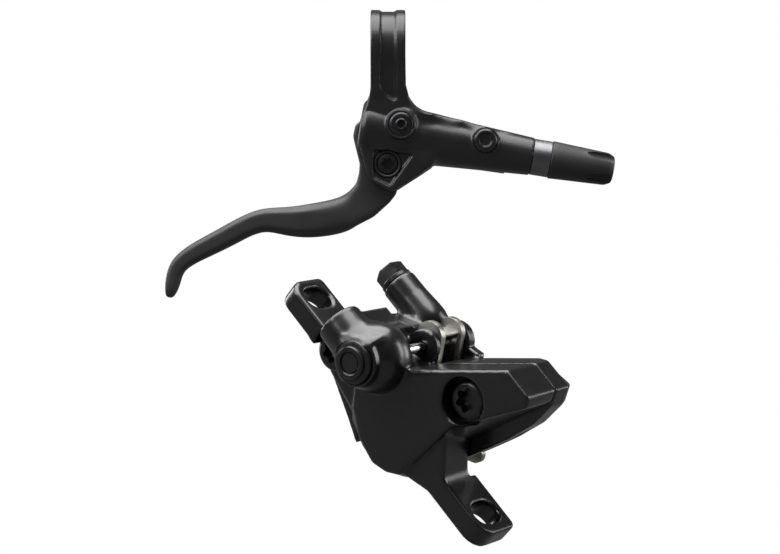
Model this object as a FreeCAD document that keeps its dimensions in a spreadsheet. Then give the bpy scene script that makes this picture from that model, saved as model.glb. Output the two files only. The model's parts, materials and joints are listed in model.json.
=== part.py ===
# Hydraulic disc brake for a bicycle: hand lever with master cylinder, and two-piece caliper.
import FreeCAD, Part
import math
import os
import re
import Sketcher
from FreeCAD import Placement, Rotation, Vector

# Lengths are millimetres and angles are degrees.
# The lever stands in the frame itself: X along the handlebar, Z up, -Y towards its front.
# The caliper has axes of its own: x along its two mounting ears, y out of the ear tops
# along the mounting bolts, z along the disc's axle towards the outer face.
SIZES = {
    # length of a cut that runs clear through
    "through_cut": 20.0,
    # handlebar clamp
    "bar_radius": 11.1,
    "ring_radius": 15.9,
    "ring_width": 13.8,
    "ring_groove_width": 6.2,
    "ring_groove_depth": 0.7,
    "neck_recess_depth": 2.0,
    "neck_front": 9.5,
    "neck_back": 7.5,
    "slit_width": 2.0,
    "lug_depth": 11.5,
    "lug_half_height": 7.0,
    "clamp_screw_radius": 2.5,
    "clamp_head_radius": 4.25,
    "clamp_head_height": 4.0,
    # master cylinder
    "cylinder_tilt": 9.5,
    "cylinder_front": 3.0,
    "cylinder_drop": 33.23,
    "housing_start": 11.36,
    "housing_length": 69.4,
    "housing_start_radius": 12.2,
    "housing_end_radius": 7.5,
    "housing_rim": 3.0,
    "master_bore_radius": 5.0,
    "mouth_radius": 5.9,
    "mouth_face": 1.2,
    "mouth_depth": 2.2,
    "bore_depth": "=housing_length - 25.4",
    # reservoir on the hidden side
    "reservoir_start": 13.0,
    "reservoir_length": "=housing_length - 33.4",
    "reservoir_half_height": 8.4,
    "reservoir_back": 11.6,
    "reservoir_wall": 2.6,
    "reservoir_depth": 5.2,
    "diaphragm_thickness": 0.8,
    "lid_thickness": 2.2,
    "lid_screw_radius": 1.25,
    "lid_screw_inset": 3.4,
    # plugs on the front
    "bleed_place": 4.7,
    "bleed_lift": 3.2,
    "bleed_boss_radius": 6.0,
    "bleed_boss_front": 15.9,
    "bleed_screw_radius": 2.5,
    "bleed_head_radius": 4.7,
    "plug_place": 38.5,
    "plug_lift": 2.6,
    "plug_boss_radius": 5.2,
    "plug_boss_front": 13.0,
    "plug_head_radius": 4.7,
    # clevis and pivot
    "clevis_front": 12.5,
    "clevis_back": 6.5,
    "blade_gap": 10.2,
    "pivot_along": -0.2,
    "pivot_drop": 46.2,
    "pivot_radius": 2.5,
    "pivot_head_radius": 4.0,
    "pivot_ring_radius": 5.5,
    "ear_recess": 1.5,
    # blade
    "blade_eye_radius": 5.7,
    "blade_eye_width": 9.6,
    "blade_finger_width": 12.4,
    "blade_tip_width": 7.6,
    "blade_edge_radius": 2.6,
    "bush_radius": 3.6,
    "bush_clearance": 0.04,
    # piston and its rod
    "running_gap": 0.04,
    "piston_start": -3.5,
    "piston_length": 24.0,
    "rod_radius": 2.0,
    "spring_wire": 0.5,
    "spring_radius": 3.9,
    "spring_turns": 7,
    "spring_steps": 10,
    # hose end
    "hose_nut_radius": 7.2,
    "hose_nut_length": 7.4,
    "hose_nut_shank": 9.0,
    "hose_thread_radius": 4.0,
    "hose_radius": 2.6,
    "cover_start_radius": 7.5,
    "cover_end_radius": 6.4,
    "cover_length": 25.4,
    # caliper: place in the set
    "caliper_right": 3.57,
    "caliper_forward": 281.5,
    "caliper_down": 123.0,
    "caliper_yaw": -31.76,
    "caliper_pitch": 46.73,
    "caliper_roll": 98.43,
    # caliper: planes along the axle
    "split_plane": -4.0,
    "outer_face": 8.6,
    "arm_face": 7.0,
    "ear_inner_face": -6.5,
    "flange_face": 3.0,
    "bridge_face": -10.0,
    "inner_flank": -17.5,
    "disc_plane": -9.5,
    # caliper: mounting ears
    "ear_spacing": 74.2,
    "ear_reach": 6.4,
    "ear_thickness": 6.0,
    "slot_radius": 3.4,
    "slot_length": 9.2,
    "ear_corner": 5.0,
    # caliper: hydraulics
    "piston_along": 4.2,
    "piston_down": 2.3,
    "caliper_piston_radius": 10.5,
    "caliper_bore_depth": 8.2,
    "seal_depth": 1.3,
    "seal_width": 2.2,
    "housing_wall": 3.6,
    "inner_housing_face": -26.0,
    # caliper: bolts
    "first_bolt_along": -21.0,
    "first_bolt_up": -3.0,
    "second_bolt_along": 16.0,
    "second_bolt_up": 20.2,
    "body_bolt_radius": 3.0,
    "body_bolt_head_radius": 5.2,
    "body_bolt_head_height": 3.5,
    "counterbore_radius": 6.2,
    # caliper: ports
    "hose_port_start": -22.3,
    "hose_port_up": 8.9,
    "hose_port_out": 12.7,
    "hose_boss_radius": 6.1,
    "port_depth": 9.0,
    "dome_along": -9.1,
    "dome_radius": 9.3,
    "passage_radius": 1.4,
    "crossing_along": -16.0,
    "passage_plug_radius": 5.6,
    "passage_plug_face": 20.2,
    "bleed_boss_start": -27.6,
    "bleed_boss_up": 13.2,
    "bleed_boss_in": -14.0,
    "nipple_boss_radius": 4.8,
    "nipple_thread_radius": 2.5,
    "nipple_flats": 7.2,
    # caliper: pads
    "pad_turn": 31.0,
    "pad_half_width": 14.5,
    "pad_drop": 10.0,
    "pad_ear": 2.3,
    "pad_top": 8.5,
    "tab_half_width": 4.0,
    "tab_top": 26.0,
    "plate_thickness": 1.8,
    "friction_thickness": 2.0,
    "disc_thickness": 1.8,
    "disc_gap": 0.6,
    "disc_radius": 80.0,
    "pad_radius": "=disc_radius - 11.5",
    "pocket_gap": 0.5,
    "axle_radius": 1.3,
    "axle_up": 19.5,
    "axle_out": 6.9,
    "axle_in": -20.2,
    "lug_radius": 4.7,
    "lug_thickness": 2.3,
    "spring_sheet": 0.4,
}


# Sheet and expressions
doc = FreeCAD.newDocument("hydraulic_disc_brake")
sheet = doc.addObject("Spreadsheet::Sheet", "Sizes")
for row, (alias, value) in enumerate(SIZES.items(), 1):
    sheet.set("A%d" % row, alias)
    sheet.set("B%d" % row, str(value))
    sheet.setAlias("B%d" % row, alias)
doc.recompute()

FLAT = Rotation()
ALONG_X = Rotation(Vector(0, 1, 0), 90)
ALONG_Y = Rotation(Vector(1, 0, 0), -90)
TO_FRONT = Rotation(Vector(1, 0, 0), 90)
parts = []


def bound(words):
    """The same sum with each sheet name pointing at its cell."""
    return re.sub(r"[a-z_]+", lambda name: ("Sizes." if name.group() in SIZES else "") + name.group(), str(words))


def size(words):
    """The value of a sum of sheet names."""
    return float(sheet.evalExpression(bound(words)))


def new_body(label, place=None):
    body = doc.addObject("PartDesign::Body", label)
    body.Label = label
    body.Placement = place or Placement()
    parts.append(body)
    return body


def new_feature(label, shape, place=None):
    feature = doc.addObject("Part::Feature", label)
    feature.Label = label
    feature.Shape = shape
    feature.Placement = place or Placement()
    parts.append(feature)
    return feature


def outline(body, name, corners, role="XY_Plane", level="0", frame=("0", "0", "0"), lean=0):
    """A closed outline whose corners are held at their sums, on a plane of the body."""
    sketch = body.newObject("Sketcher::SketchObject", name)
    sketch.AttachmentSupport = [([p for p in body.Origin.OriginFeatures if p.Role == role][0], "")]
    sketch.MapMode = "FlatFace"
    places = [Vector(size(across), size(up), 0) for across, up in corners]
    count = len(corners)
    for i in range(count):
        sketch.addGeometry(Part.LineSegment(places[i], places[(i + 1) % count]))
    for i in range(count):
        sketch.addConstraint(Sketcher.Constraint("Coincident", i, 2, (i + 1) % count, 1))
    for i, corner in enumerate(corners):
        hold_corner(sketch, i, "DistanceX", places[i].x, corner[0], -2)
        hold_corner(sketch, i, "DistanceY", places[i].y, corner[1], -1)
    offset = Vector(size(frame[0]), size(frame[1]), size(level))
    sketch.AttachmentOffset = Placement(offset, Rotation(size(frame[2]), 0, -lean))
    sketch.setExpression("AttachmentOffset.Base.x", bound(frame[0]))
    sketch.setExpression("AttachmentOffset.Base.y", bound(frame[1]))
    sketch.setExpression("AttachmentOffset.Base.z", bound(level))
    return sketch


def hold_corner(sketch, line, kind, value, words, axis):
    """Hold the first end of a line at a sum, or on the axis where the sum is nought."""
    if abs(value) < 1e-9:
        sketch.addConstraint(Sketcher.Constraint("PointOnObject", line, 1, axis))
        return
    place = sketch.addConstraint(Sketcher.Constraint(kind, -1, 1, line, 1, value))
    if isinstance(words, str):
        sketch.setExpression("Constraints[%d]" % place, bound(words))


def slab(body, name, corners, low, high, role="XY_Plane", frame=("0", "0", "0"), cut=False):
    """An outline made solid, or cut away, between two levels of its plane."""
    sketch = outline(body, name + "_outline", corners, role, low, frame)
    feature = body.newObject("PartDesign::Pocket" if cut else "PartDesign::Pad", name)
    feature.Profile = sketch
    feature.Reversed = cut
    feature.setExpression("Length", bound("(%s) - (%s)" % (high, low)))
    doc.recompute()
    return feature


def loft(body, name, low_corners, low, high_corners, high, frame=("0", "0", "0")):
    """A drafted block between two outlines with the same number of corners."""
    first = outline(body, name + "_low", low_corners, "XY_Plane", low, frame)
    last = outline(body, name + "_high", high_corners, "XY_Plane", high, frame)
    feature = body.newObject("PartDesign::AdditiveLoft", name)
    feature.Profile = first
    feature.Sections = [last]
    feature.Ruled = True
    doc.recompute()
    return feature


def turn(body, name, corners, axis="V_Axis", cut=False):
    """A profile of radius and height turned once round an axis of its sketch."""
    sketch = outline(body, name + "_profile", corners, "XZ_Plane")
    feature = body.newObject("PartDesign::Groove" if cut else "PartDesign::Revolution", name)
    feature.Profile = sketch
    feature.ReferenceAxis = (sketch, [axis])
    feature.Angle = 360
    doc.recompute()
    return feature


def round_bar(body, name, radius, length, start, rotation=FLAT, cut=False):
    """A cylinder added or cut, from a start point along the turned Z axis."""
    feature = body.newObject("PartDesign::%sCylinder" % ("Subtractive" if cut else "Additive"), name)
    feature.setExpression("Radius", bound(radius))
    feature.setExpression("Height", bound(length))
    put(feature, start, rotation)
    return feature


def hex_bar(body, name, flats, length, start, rotation=FLAT, cut=False):
    """A hexagon added or cut, given across its flats."""
    feature = body.newObject("PartDesign::%sPrism" % ("Subtractive" if cut else "Additive"), name)
    feature.Polygon = 6
    feature.setExpression("Circumradius", bound("(%s) / 2 / cos(30)" % flats))
    feature.setExpression("Height", bound(length))
    put(feature, start, rotation)
    return feature


def put(feature, start, rotation):
    """Place a primitive at three sums."""
    feature.Placement = Placement(Vector(*[size(words) for words in start]), rotation)
    for axis, words in zip("xyz", start):
        feature.setExpression("Placement.Base." + axis, bound(words))
    doc.recompute()


def drill(body, name, radius, start, end, cut=True):
    """A round way cut, or a rib added, from one place to another."""
    line = Vector(*[size(last) - size(first) for first, last in zip(start, end)])
    round_bar(body, name, radius, line.Length, start, Rotation(Vector(0, 0, 1), line), cut)


def round_edges(body, name, radius, places, reach=0.3):
    """Round the edges that pass within reach of the given places."""
    base = body.Tip
    names = []
    for number, edge in enumerate(base.Shape.Edges, 1):
        if any(edge.distToShape(Part.Vertex(Vector(*place)))[0] < reach for place in places):
            names.append("Edge%d" % number)
    feature = body.newObject("PartDesign::Fillet", name)
    feature.Base = (base, names)
    feature.setExpression("Radius", bound(radius))
    doc.recompute()
    return feature


# Places on the master cylinder's axis, which tilts down towards the hose
TILT = Rotation(Vector(0, 1, 0), 90 + size("cylinder_tilt"))
CYLINDER = Placement(Vector(0, -size("cylinder_front"), -size("cylinder_drop")), TILT)
CYLINDER_FRAME = ("0", "-cylinder_drop", "-cylinder_tilt")
COS = "cos(cylinder_tilt)"
SIN = "sin(cylinder_tilt)"


def on_cylinder(distance, lift="0", front="cylinder_front"):
    """Sums for a point at a distance along the cylinder and a lift across it."""
    return ("(%s) * %s + (%s) * %s" % (distance, COS, lift, SIN), "-(%s)" % front,
            "-cylinder_drop - (%s) * %s + (%s) * %s" % (distance, SIN, lift, COS))


# Lever body: clamp ring, neck, master cylinder, clevis and reservoir in one casting
def make_lever_body():
    body = new_body("lever_body")
    cone = body.newObject("PartDesign::AdditiveCone", "housing")
    cone.setExpression("Radius1", bound("housing_start_radius"))
    cone.setExpression("Radius2", bound("housing_end_radius"))
    cone.setExpression("Height", bound("housing_length"))
    put(cone, on_cylinder("-housing_start"), TILT)
    rim = [size(words) for words in on_cylinder("-housing_start", "housing_start_radius")]
    round_edges(body, "housing_rim", "housing_rim", [rim])
    round_bar(body, "clamp_ring", "ring_radius", "ring_width", ("-ring_width / 2", "0", "0"), ALONG_X)
    half = "ring_groove_width / 2"
    floor = "ring_radius - ring_groove_depth"
    groove = [("-" + half, floor), (half, floor), (half, "ring_radius + 1"), ("-" + half, "ring_radius + 1")]
    turn(body, "ring_groove", groove, "H_Axis", True)
    add_neck(body)
    clevis = [(-11.1, -33), (-11.1, -39), (-8.8, -48.8), (-7.0, -52.8), (1.2, -57.6), (13.4, -49.8), (17.8, -46.8),
              (20, -42), (0, -36)]
    slab(body, "clevis", clevis, "-clevis_back", "clevis_front", "XZ_Plane")
    round_edges(body, "clevis_tip", "2.5", [(1.2, 0, -57.6), (-11.1, 0, -39)])
    add_reservoir(body)
    round_bar(body, "bleed_boss", "bleed_boss_radius", "bleed_boss_front - cylinder_front",
              on_cylinder("bleed_place", "bleed_lift"), TO_FRONT)
    round_bar(body, "plug_boss", "plug_boss_radius", "plug_boss_front - cylinder_front",
              on_cylinder("plug_place", "plug_lift"), TO_FRONT)
    cut_clamp(body)
    cut_cylinder(body)
    cut_clevis(body)
    return body


def add_neck(body):
    """The strap from the ring down to the cylinder, with its web along the cylinder's top."""
    side = "ring_width / 2"
    strap = [("-" + side, -6), ("-" + side, -17.5), (-11.1, -29), (-11.1, -36), (28, -38), (33, -29.5), (7.4, -23.2),
             (side, -6)]
    slab(body, "neck", strap, "-neck_back", "neck_front", "XZ_Plane")
    round_edges(body, "neck_shoulder", "6", [(-size(side), 0, -17.5)])
    round_edges(body, "web_bend", "10", [(7.4, 0, -23.2)])
    groove = "ring_groove_width / 2"
    recess = [("-" + groove, -8), ("-" + groove, -15.5), (-1.6, -18.6), (2, -21.0), (groove, -21.4), (groove, -8)]
    slab(body, "neck_recess", recess, "neck_front - neck_recess_depth", "neck_front + 6", "XZ_Plane", cut=True)


def add_reservoir(body):
    """A box on the hidden side, open at its back for the diaphragm."""
    slab(body, "reservoir", reservoir_corners("0"), "-reservoir_back", "cylinder_front", "XZ_Plane", CYLINDER_FRAME)
    slab(body, "reservoir_hollow", reservoir_corners("reservoir_wall", "2 * lid_screw_inset"), "-reservoir_back",
         "-reservoir_back + reservoir_depth", "XZ_Plane", CYLINDER_FRAME, cut=True)
    cut_lid_holes(body)
    round_bar(body, "timing_port", "0.5", "reservoir_back + cylinder_front", on_cylinder("reservoir_start + 8", "0"),
              ALONG_Y, True)


def reservoir_corners(inset, end_inset="0"):
    first = "reservoir_start + (%s)" % end_inset
    last = "reservoir_start + reservoir_length - (%s)" % end_inset
    half = "reservoir_half_height - (%s)" % inset
    return [(first, "-(%s)" % half), (last, "-(%s) + 0.9" % half), (last, half + " - 0.9"), (first, half)]


def cut_clamp(body):
    """The bar bore, the slit at the back and the screw's holes through its two lugs."""
    lug = "ring_width / 2"
    tall = "lug_half_height"
    root, end = "ring_radius - 5", "ring_radius + lug_depth"
    lugs = [(root, "-" + tall), (end, "-" + tall), (end, tall), (root, tall)]
    slab(body, "clamp_lugs", lugs, "-" + lug, lug, "YZ_Plane")
    back = size("ring_radius + lug_depth")
    round_edges(body, "lug_corners", "2", [(0, back, size(tall)), (0, back, -size(tall))])
    round_bar(body, "bar_bore", "bar_radius", "ring_width + 2", ("-ring_width / 2 - 1", "0", "0"), ALONG_X, True)
    slit = [("bar_radius - 2", "-slit_width / 2"), ("ring_radius + lug_depth + 1", "-slit_width / 2"),
            ("ring_radius + lug_depth + 1", "slit_width / 2"), ("bar_radius - 2", "slit_width / 2")]
    slab(body, "slit", slit, "-%s - 1" % lug, lug + " + 1", "YZ_Plane", cut=True)
    middle = "ring_radius + lug_depth / 2"
    round_bar(body, "clamp_screw_hole", "clamp_screw_radius + 0.05", "2 * lug_half_height + 2",
              ("0", middle, "-lug_half_height - 1"), FLAT, True)
    seat = ("0", middle, "lug_half_height - 2")
    round_bar(body, "clamp_head_seat", "clamp_head_radius + 0.3", "4", seat, FLAT, True)


def cut_cylinder(body):
    """The master bore, its mouth, the hose end's thread and the seats of the two front plugs."""
    slot = "blade_gap / 2"
    opening = [(-20, -24.5), ("-mouth_face", -24.5), ("-mouth_face", "-pivot_drop + blade_eye_radius + 0.6"),
               (12.5, "-pivot_drop + blade_eye_radius - 2.1"), (12.5, -62), (-20, -62)]
    slab(body, "blade_slot", opening, "cylinder_front - " + slot, "cylinder_front + " + slot, "XZ_Plane", cut=True)
    round_bar(body, "master_bore", "master_bore_radius", "bore_depth", on_cylinder("-mouth_face - 2"), TILT, True)
    round_bar(body, "mouth", "mouth_radius", "mouth_depth + 2", on_cylinder("-mouth_face - 2"), TILT, True)
    end = "housing_length - housing_start"
    past_bore = on_cylinder("bore_depth - 6")
    round_bar(body, "outlet", "passage_radius", "housing_length - bore_depth + 4", past_bore, TILT, True)
    seat = on_cylinder(end + " - hose_nut_shank - 0.5")
    round_bar(body, "hose_thread", "hose_thread_radius", "hose_nut_shank + 1", seat, TILT, True)
    for name in ("bleed", "plug"):
        place, lift, front = name + "_place", name + "_lift", name + "_boss_front"
        seat, bottom = on_cylinder(place, lift, front + " - 1"), on_cylinder(place, lift, front + " - 7")
        round_bar(body, name + "_seat", name + "_head_radius + 0.1", "4", seat, TO_FRONT, True)
        round_bar(body, name + "_hole", "bleed_screw_radius + 0.05", "through_cut", bottom, TO_FRONT, True)


def cut_clevis(body):
    """The pivot's bore through both ears and the three-cornered recess of the front ear."""
    recess = [(-5.4, -40.5), (-6.2, -51.4), (0.8, -55.0), (9.8, -42.6)]
    slab(body, "ear_recess", recess, "clevis_front - ear_recess", "clevis_front + 5", "XZ_Plane", cut=True)
    front = "-clevis_front - 1"
    pivot = ("pivot_along", front, "-pivot_drop")
    length = "clevis_front + clevis_back + 2"
    round_bar(body, "pivot_bore", "pivot_radius + bush_clearance", length, pivot, ALONG_Y, True)
    round_bar(body, "pivot_seat", "pivot_ring_radius", "ear_recess + 2.2", pivot, ALONG_Y, True)


# Lever hardware on the body
def make_clamp_screw():
    seat = Vector(0, size("ring_radius + lug_depth / 2"), size("lug_half_height - 2"))
    body = new_body("clamp_screw", Placement(seat, FLAT))
    shank, head, end, top = "clamp_screw_radius", "clamp_head_radius", "-2 * lug_half_height + 3", "clamp_head_height"
    profile = [("0", end), (shank, end), (shank, "0"), (head, "0"), (head, top + " - 0.6"), (head + " - 0.6", top), ("0", top)]
    turn(body, "screw", profile)
    hex_bar(body, "socket", "4", top, ("0", "0", top + " - 2.4"), FLAT, True)


def make_front_plug(label, place, lift, front, head, dome):
    """A screw plug with its head in a seat of the front boss, its thread towards the bore."""
    start = Vector(*[size(words) for words in on_cylinder(place, lift, front + " - 1")])
    body = new_body(label, Placement(start, TO_FRONT))
    thread, end = "bleed_screw_radius", "-3.9"
    profile = [("0", end), (thread, end), (thread, "0.5"), (head, "0.5"), (head, "1.1"), (head + " - 0.7", dome), ("0", dome)]
    turn(body, "screw", profile)
    return body


def make_bleed_screw():
    body = make_front_plug("bleed_screw", "bleed_place", "bleed_lift", "bleed_boss_front", "bleed_head_radius", "1.6")
    round_bar(body, "collar", "2.0", "0.7", ("0", "0", "1.5"))
    hex_bar(body, "socket", "2.5", "4", ("0", "0", "0.4"), FLAT, True)


def make_port_plug():
    body = make_front_plug("port_plug", "plug_place", "plug_lift", "plug_boss_front", "plug_head_radius", "1.9")
    round_bar(body, "dimple", "2.4", "2", ("0", "0", "1.5"), FLAT, True)


def make_ring(label, place, inner, outer, low, high):
    """A plain ring, such as a seal or a retaining ring."""
    body = new_body(label, place)
    turn(body, "ring", [(inner, low), (outer, low), (outer, high), (inner, high)])
    return body


def make_bleed_oring():
    start = Vector(*[size(words) for words in on_cylinder("bleed_place", "bleed_lift", "bleed_boss_front - 1")])
    make_ring("bleed_screw_seal", Placement(start, TO_FRONT), "bleed_screw_radius + 0.05", "bleed_head_radius - 0.4",
              "0.02", "0.48")


def make_diaphragm():
    """A rubber sheet with a shallow cup that hangs into the reservoir."""
    body = new_body("reservoir_diaphragm")
    frame = CYLINDER_FRAME
    back, inside = "-reservoir_back - diaphragm_thickness", "-reservoir_back + 2.4"
    inset, end_inset = "reservoir_wall + 0.3", "2 * lid_screw_inset + 0.3"
    cup = reservoir_corners(inset, end_inset)
    fold = reservoir_corners(inset + " + diaphragm_thickness", end_inset + " + diaphragm_thickness")
    slab(body, "flange", reservoir_corners("0"), back, "-reservoir_back", "XZ_Plane", frame)
    slab(body, "cup", cup, "-reservoir_back", inside, "XZ_Plane", frame)
    slab(body, "fold", fold, back, inside + " - diaphragm_thickness", "XZ_Plane", frame, cut=True)
    cut_lid_holes(body)


def make_lid():
    body = new_body("reservoir_lid")
    under = "-reservoir_back - diaphragm_thickness"
    face = under + " - lid_thickness"
    panel = reservoir_corners("reservoir_wall", "2 * lid_screw_inset")
    slab(body, "plate", reservoir_corners("0"), face, under, "XZ_Plane", CYLINDER_FRAME)
    slab(body, "panel", panel, face + " - 0.8", face, "XZ_Plane", CYLINDER_FRAME)
    cut_lid_holes(body)


def lid_screw_places():
    """Two screws on the lid's long centre line, outside the hollow."""
    return ("reservoir_start + lid_screw_inset", "reservoir_start + reservoir_length - lid_screw_inset")


def cut_lid_holes(body):
    for number, place in enumerate(lid_screw_places()):
        round_bar(body, "screw_hole_%d" % number, "lid_screw_radius + 0.05", "through_cut",
                  on_cylinder(place, "0", "-reservoir_back + 4.5"), ALONG_Y, True)


# Pivot, blade and what the blade carries
def pivot_place(front):
    return Placement(Vector(size("pivot_along"), -size(front), -size("pivot_drop")), ALONG_Y)


PIVOT_FLOOR = "clevis_front - ear_recess - 1.2"


def make_pivot_pin():
    """A headed pin whose far end has a groove for its clip."""
    body = new_body("pivot_pin", pivot_place(PIVOT_FLOOR))
    radius, head = "pivot_radius", "pivot_head_radius"
    back, neck = "(%s) + clevis_back" % PIVOT_FLOOR, "pivot_radius - 0.5"
    profile = [("0", -2.1), (head + " - 0.5", -2.1), (head, -1.6), (head, "0"), (radius, "0"), (radius, back + " + 0.1"),
               (neck, back + " + 0.1"), (neck, back + " + 0.9"), (radius, back + " + 0.9"), (radius, back + " + 1.6"),
               ("0", back + " + 1.6")]
    turn(body, "pin", profile)
    hex_bar(body, "socket", "3", "2", ("0", "0", "-2.6"), FLAT, True)


def make_pivot_washer():
    make_ring("pivot_washer", pivot_place(PIVOT_FLOOR), "pivot_head_radius", "pivot_ring_radius", "-1.7", "0")


def make_pivot_clip():
    back = "(%s) + clevis_back" % PIVOT_FLOOR
    make_ring("pivot_clip", pivot_place(PIVOT_FLOOR), "pivot_radius - 0.5", "pivot_radius + 1.4", back + " + 0.1",
              back + " + 0.9")


def make_blade_bush():
    """The plain bearing pressed into the blade's eye."""
    half = "blade_eye_width / 2"
    make_ring("blade_bush", pivot_place("cylinder_front"), "pivot_radius + bush_clearance", "bush_radius",
              "-%s" % half, half)


# Each section of the blade's finger part: its middle in X and Z, its lean from upright,
# half its thickness and half its width
BLADE_SECTIONS = [
    (-15.0, -64.2, 12, 7.2, 4.8), (-24.0, -67.4, 14, 7.0, 5.4), (-33.0, -68.6, 8, 6.5, 5.9), (-42.5, -68.5, 3, 5.4, 6.2),
    (-52.0, -68.9, 14, 4.4, 6.0), (-61.5, -73.2, 28, 4.2, 5.6), (-71.0, -78.2, 29, 4.0, 5.1), (-79.0, -82.6, 34, 3.6, 4.6),
    (-83.6, -86.8, 56, 3.2, 4.2), (-85.5, -92.0, 80, 2.9, 4.0), (-86.6, -96.8, 74, 2.1, 3.7), (-87.3, -98.9, 70, 1.0, 2.8)]


def make_lever_blade():
    """A one-finger blade: nose, eye and root cut from one slab, and a finger part of even sections."""
    body = new_body("lever_blade")
    half = "blade_eye_width / 2"
    nose = [(-8.9, -30.5), (-8.6, -38.0), (-5.4, -40.8), (1.0, -41.2), (4.6, -43.0), (5.4, -46.2), (5.2, -51), (3.2, -57.8),
            (0.8, -60.9), (-5.6, -66.8), (-16.0, -72.2), (-16.0, -57.2), (-12.8, -54.0), (-11.6, -50.0), (-11.2, -46.0),
            (-13.2, -38.0), (-13.9, -34.8), (-13.0, -30.6), (-11.0, -28.8)]
    slab(body, "root", nose, "cylinder_front - " + half, "cylinder_front + " + half, "XZ_Plane")
    add_finger(body)
    middle = "-cylinder_front - blade_gap / 2"
    round_bar(body, "eye_bore", "bush_radius", "blade_gap", ("pivot_along", middle, "-pivot_drop"), ALONG_Y, True)
    round_bar(body, "reach_thread", "rod_radius + 0.03", "through_cut", on_cylinder("-through_cut"), TILT, True)
    return body


def add_finger(body):
    """A smooth solid through bevelled sections along the blade."""
    sections = []
    for number, (across, up, lean, thick, wide) in enumerate(BLADE_SECTIONS):
        bevel = 0.42 * thick
        corners = [(-wide, thick - bevel), (bevel - wide, thick), (wide - bevel, thick), (wide, thick - bevel),
                   (wide, bevel - thick), (wide - bevel, -thick), (bevel - wide, -thick), (-wide, bevel - thick)]
        sections.append(outline(body, "section_%d" % number, corners, "YZ_Plane", across, ("-cylinder_front", up, 0), lean))
    finger = body.newObject("PartDesign::AdditiveLoft", "finger")
    finger.Profile = sections[0]
    finger.Sections = sections[1:]
    doc.recompute()


def make_reach_screw():
    """The adjusting screw in the blade's nose that bears on the piston."""
    body = new_body("reach_screw", CYLINDER)
    tip, end, radius = "piston_start - 0.1", "-14", "rod_radius"
    turn(body, "screw", [("0", end), (radius, end), (radius, tip + " - 0.8"), (radius + " - 0.8", tip), ("0", tip)])
    hex_bar(body, "socket", "2", "2.5", ("0", "0", "-15"), FLAT, True)


# Master piston with its seals and spring
def make_master_piston():
    body = new_body("master_piston", CYLINDER)
    land = "master_bore_radius - running_gap"
    stem, waist, groove = "master_bore_radius - 1.1", "master_bore_radius - 0.9", "master_bore_radius - 1.3"
    start, end, spigot = "piston_start", "piston_start + piston_length", "rod_radius + 0.4"
    profile = [("0", start), (stem, start), (stem, 1.2), (land, 1.2), (land, 4), (groove, 4), (groove, 6.4), (land, 6.4),
               (land, 9), (waist, 9), (waist, 15), (land, 15), (land, 17), (groove, 17), (groove, 19.4), (land, 19.4),
               (land, end), (spigot, end), (spigot, end + " + 2"), ("0", end + " + 2")]
    turn(body, "piston", profile)


def make_master_seals():
    for label, start in (("secondary_seal", 4), ("primary_seal", 17)):
        body = new_body(label, CYLINDER)
        inner, outer = "master_bore_radius - 1.3", "master_bore_radius - running_gap / 2"
        turn(body, "lip", [(inner, start), (outer + " - 0.4", start), (outer, start + 2.3), (inner, start + 2.3)])


def make_return_spring():
    """A coil spring between the piston's end and the bottom of the bore."""
    first = size("piston_start + piston_length + spring_wire")
    length = size("bore_depth - mouth_face - 2 - spring_wire") - first
    radius, steps = size("spring_radius"), int(size("spring_turns * spring_steps"))
    turn_by = 2 * math.pi / size("spring_steps")
    points = [Vector(radius * math.cos(i * turn_by), radius * math.sin(i * turn_by), length * i / steps)
              for i in range(steps + 1)]
    rim = Part.makeCircle(size("spring_wire") * 0.8, points[0], points[1] - points[0])
    corners = [rim.valueAt(i * math.pi / 3) for i in range(6)]
    sweep = Part.BRepOffsetAPI.MakePipeShell(Part.makePolygon(points))
    sweep.setTransitionMode(1)
    sweep.add(Part.makePolygon(corners + corners[:1]), False, False)
    sweep.build()
    sweep.makeSolid()
    new_feature("return_spring", sweep.shape(), CYLINDER.multiply(Placement(Vector(0, 0, first), FLAT)))


def make_piston_circlip():
    """An open ring in the bore's mouth that keeps the piston in."""
    body = new_body("piston_circlip", CYLINDER)
    inner, outer, thick = "master_bore_radius - 0.9", "mouth_radius", 0.95
    turn(body, "ring", [(inner, 0), (outer, 0), (outer, thick), (inner, thick)])
    gap = [(1, -1.2), (9, -1.2), (9, 1.2), (1, 1.2)]
    slab(body, "gap", gap, "-1", "2", cut=True)


# Hose end of the lever
HOUSING_END = "housing_length - housing_start"


def make_hose_nut():
    body = new_body("hose_nut", CYLINDER)
    seat, end = HOUSING_END + " - hose_nut_shank", HOUSING_END + " + hose_nut_length"
    turn(body, "nut", [("passage_radius", seat), ("hose_thread_radius", seat), ("hose_thread_radius", HOUSING_END),
                       ("hose_nut_radius", HOUSING_END), ("hose_nut_radius", end), ("hose_radius", end),
                       ("hose_radius", seat + " + 4"), ("passage_radius", seat + " + 4")])


def make_hose_nut_cover():
    body = new_body("hose_nut_cover", CYLINDER)
    start, end = HOUSING_END + " + hose_nut_length", HOUSING_END + " + hose_nut_length + cover_length"
    turn(body, "cover", [("hose_radius", start), ("cover_start_radius", start), ("cover_end_radius", end + " - 2.6"),
                         ("cover_end_radius - 0.8", end + " - 0.8"), ("cover_end_radius - 2.2", end), ("hose_radius", end)])


# Caliper: place of its own axes, and the pads' frame turned to face the disc
CALIPER = Placement(Vector(size("caliper_right"), -size("caliper_forward"), -size("caliper_down")),
                    Rotation(size("caliper_yaw"), size("caliper_pitch"), size("caliper_roll")))
PAD_FRAME = ("piston_along", "-piston_down", "pad_turn")


def on_pads(along, out):
    """Sums in the caliper's x and y for a place along and out in the pads' frame."""
    return ("piston_along + (%s) * cos(pad_turn) - (%s) * sin(pad_turn)" % (along, out),
            "-piston_down + (%s) * sin(pad_turn) + (%s) * cos(pad_turn)" % (along, out))


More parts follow.
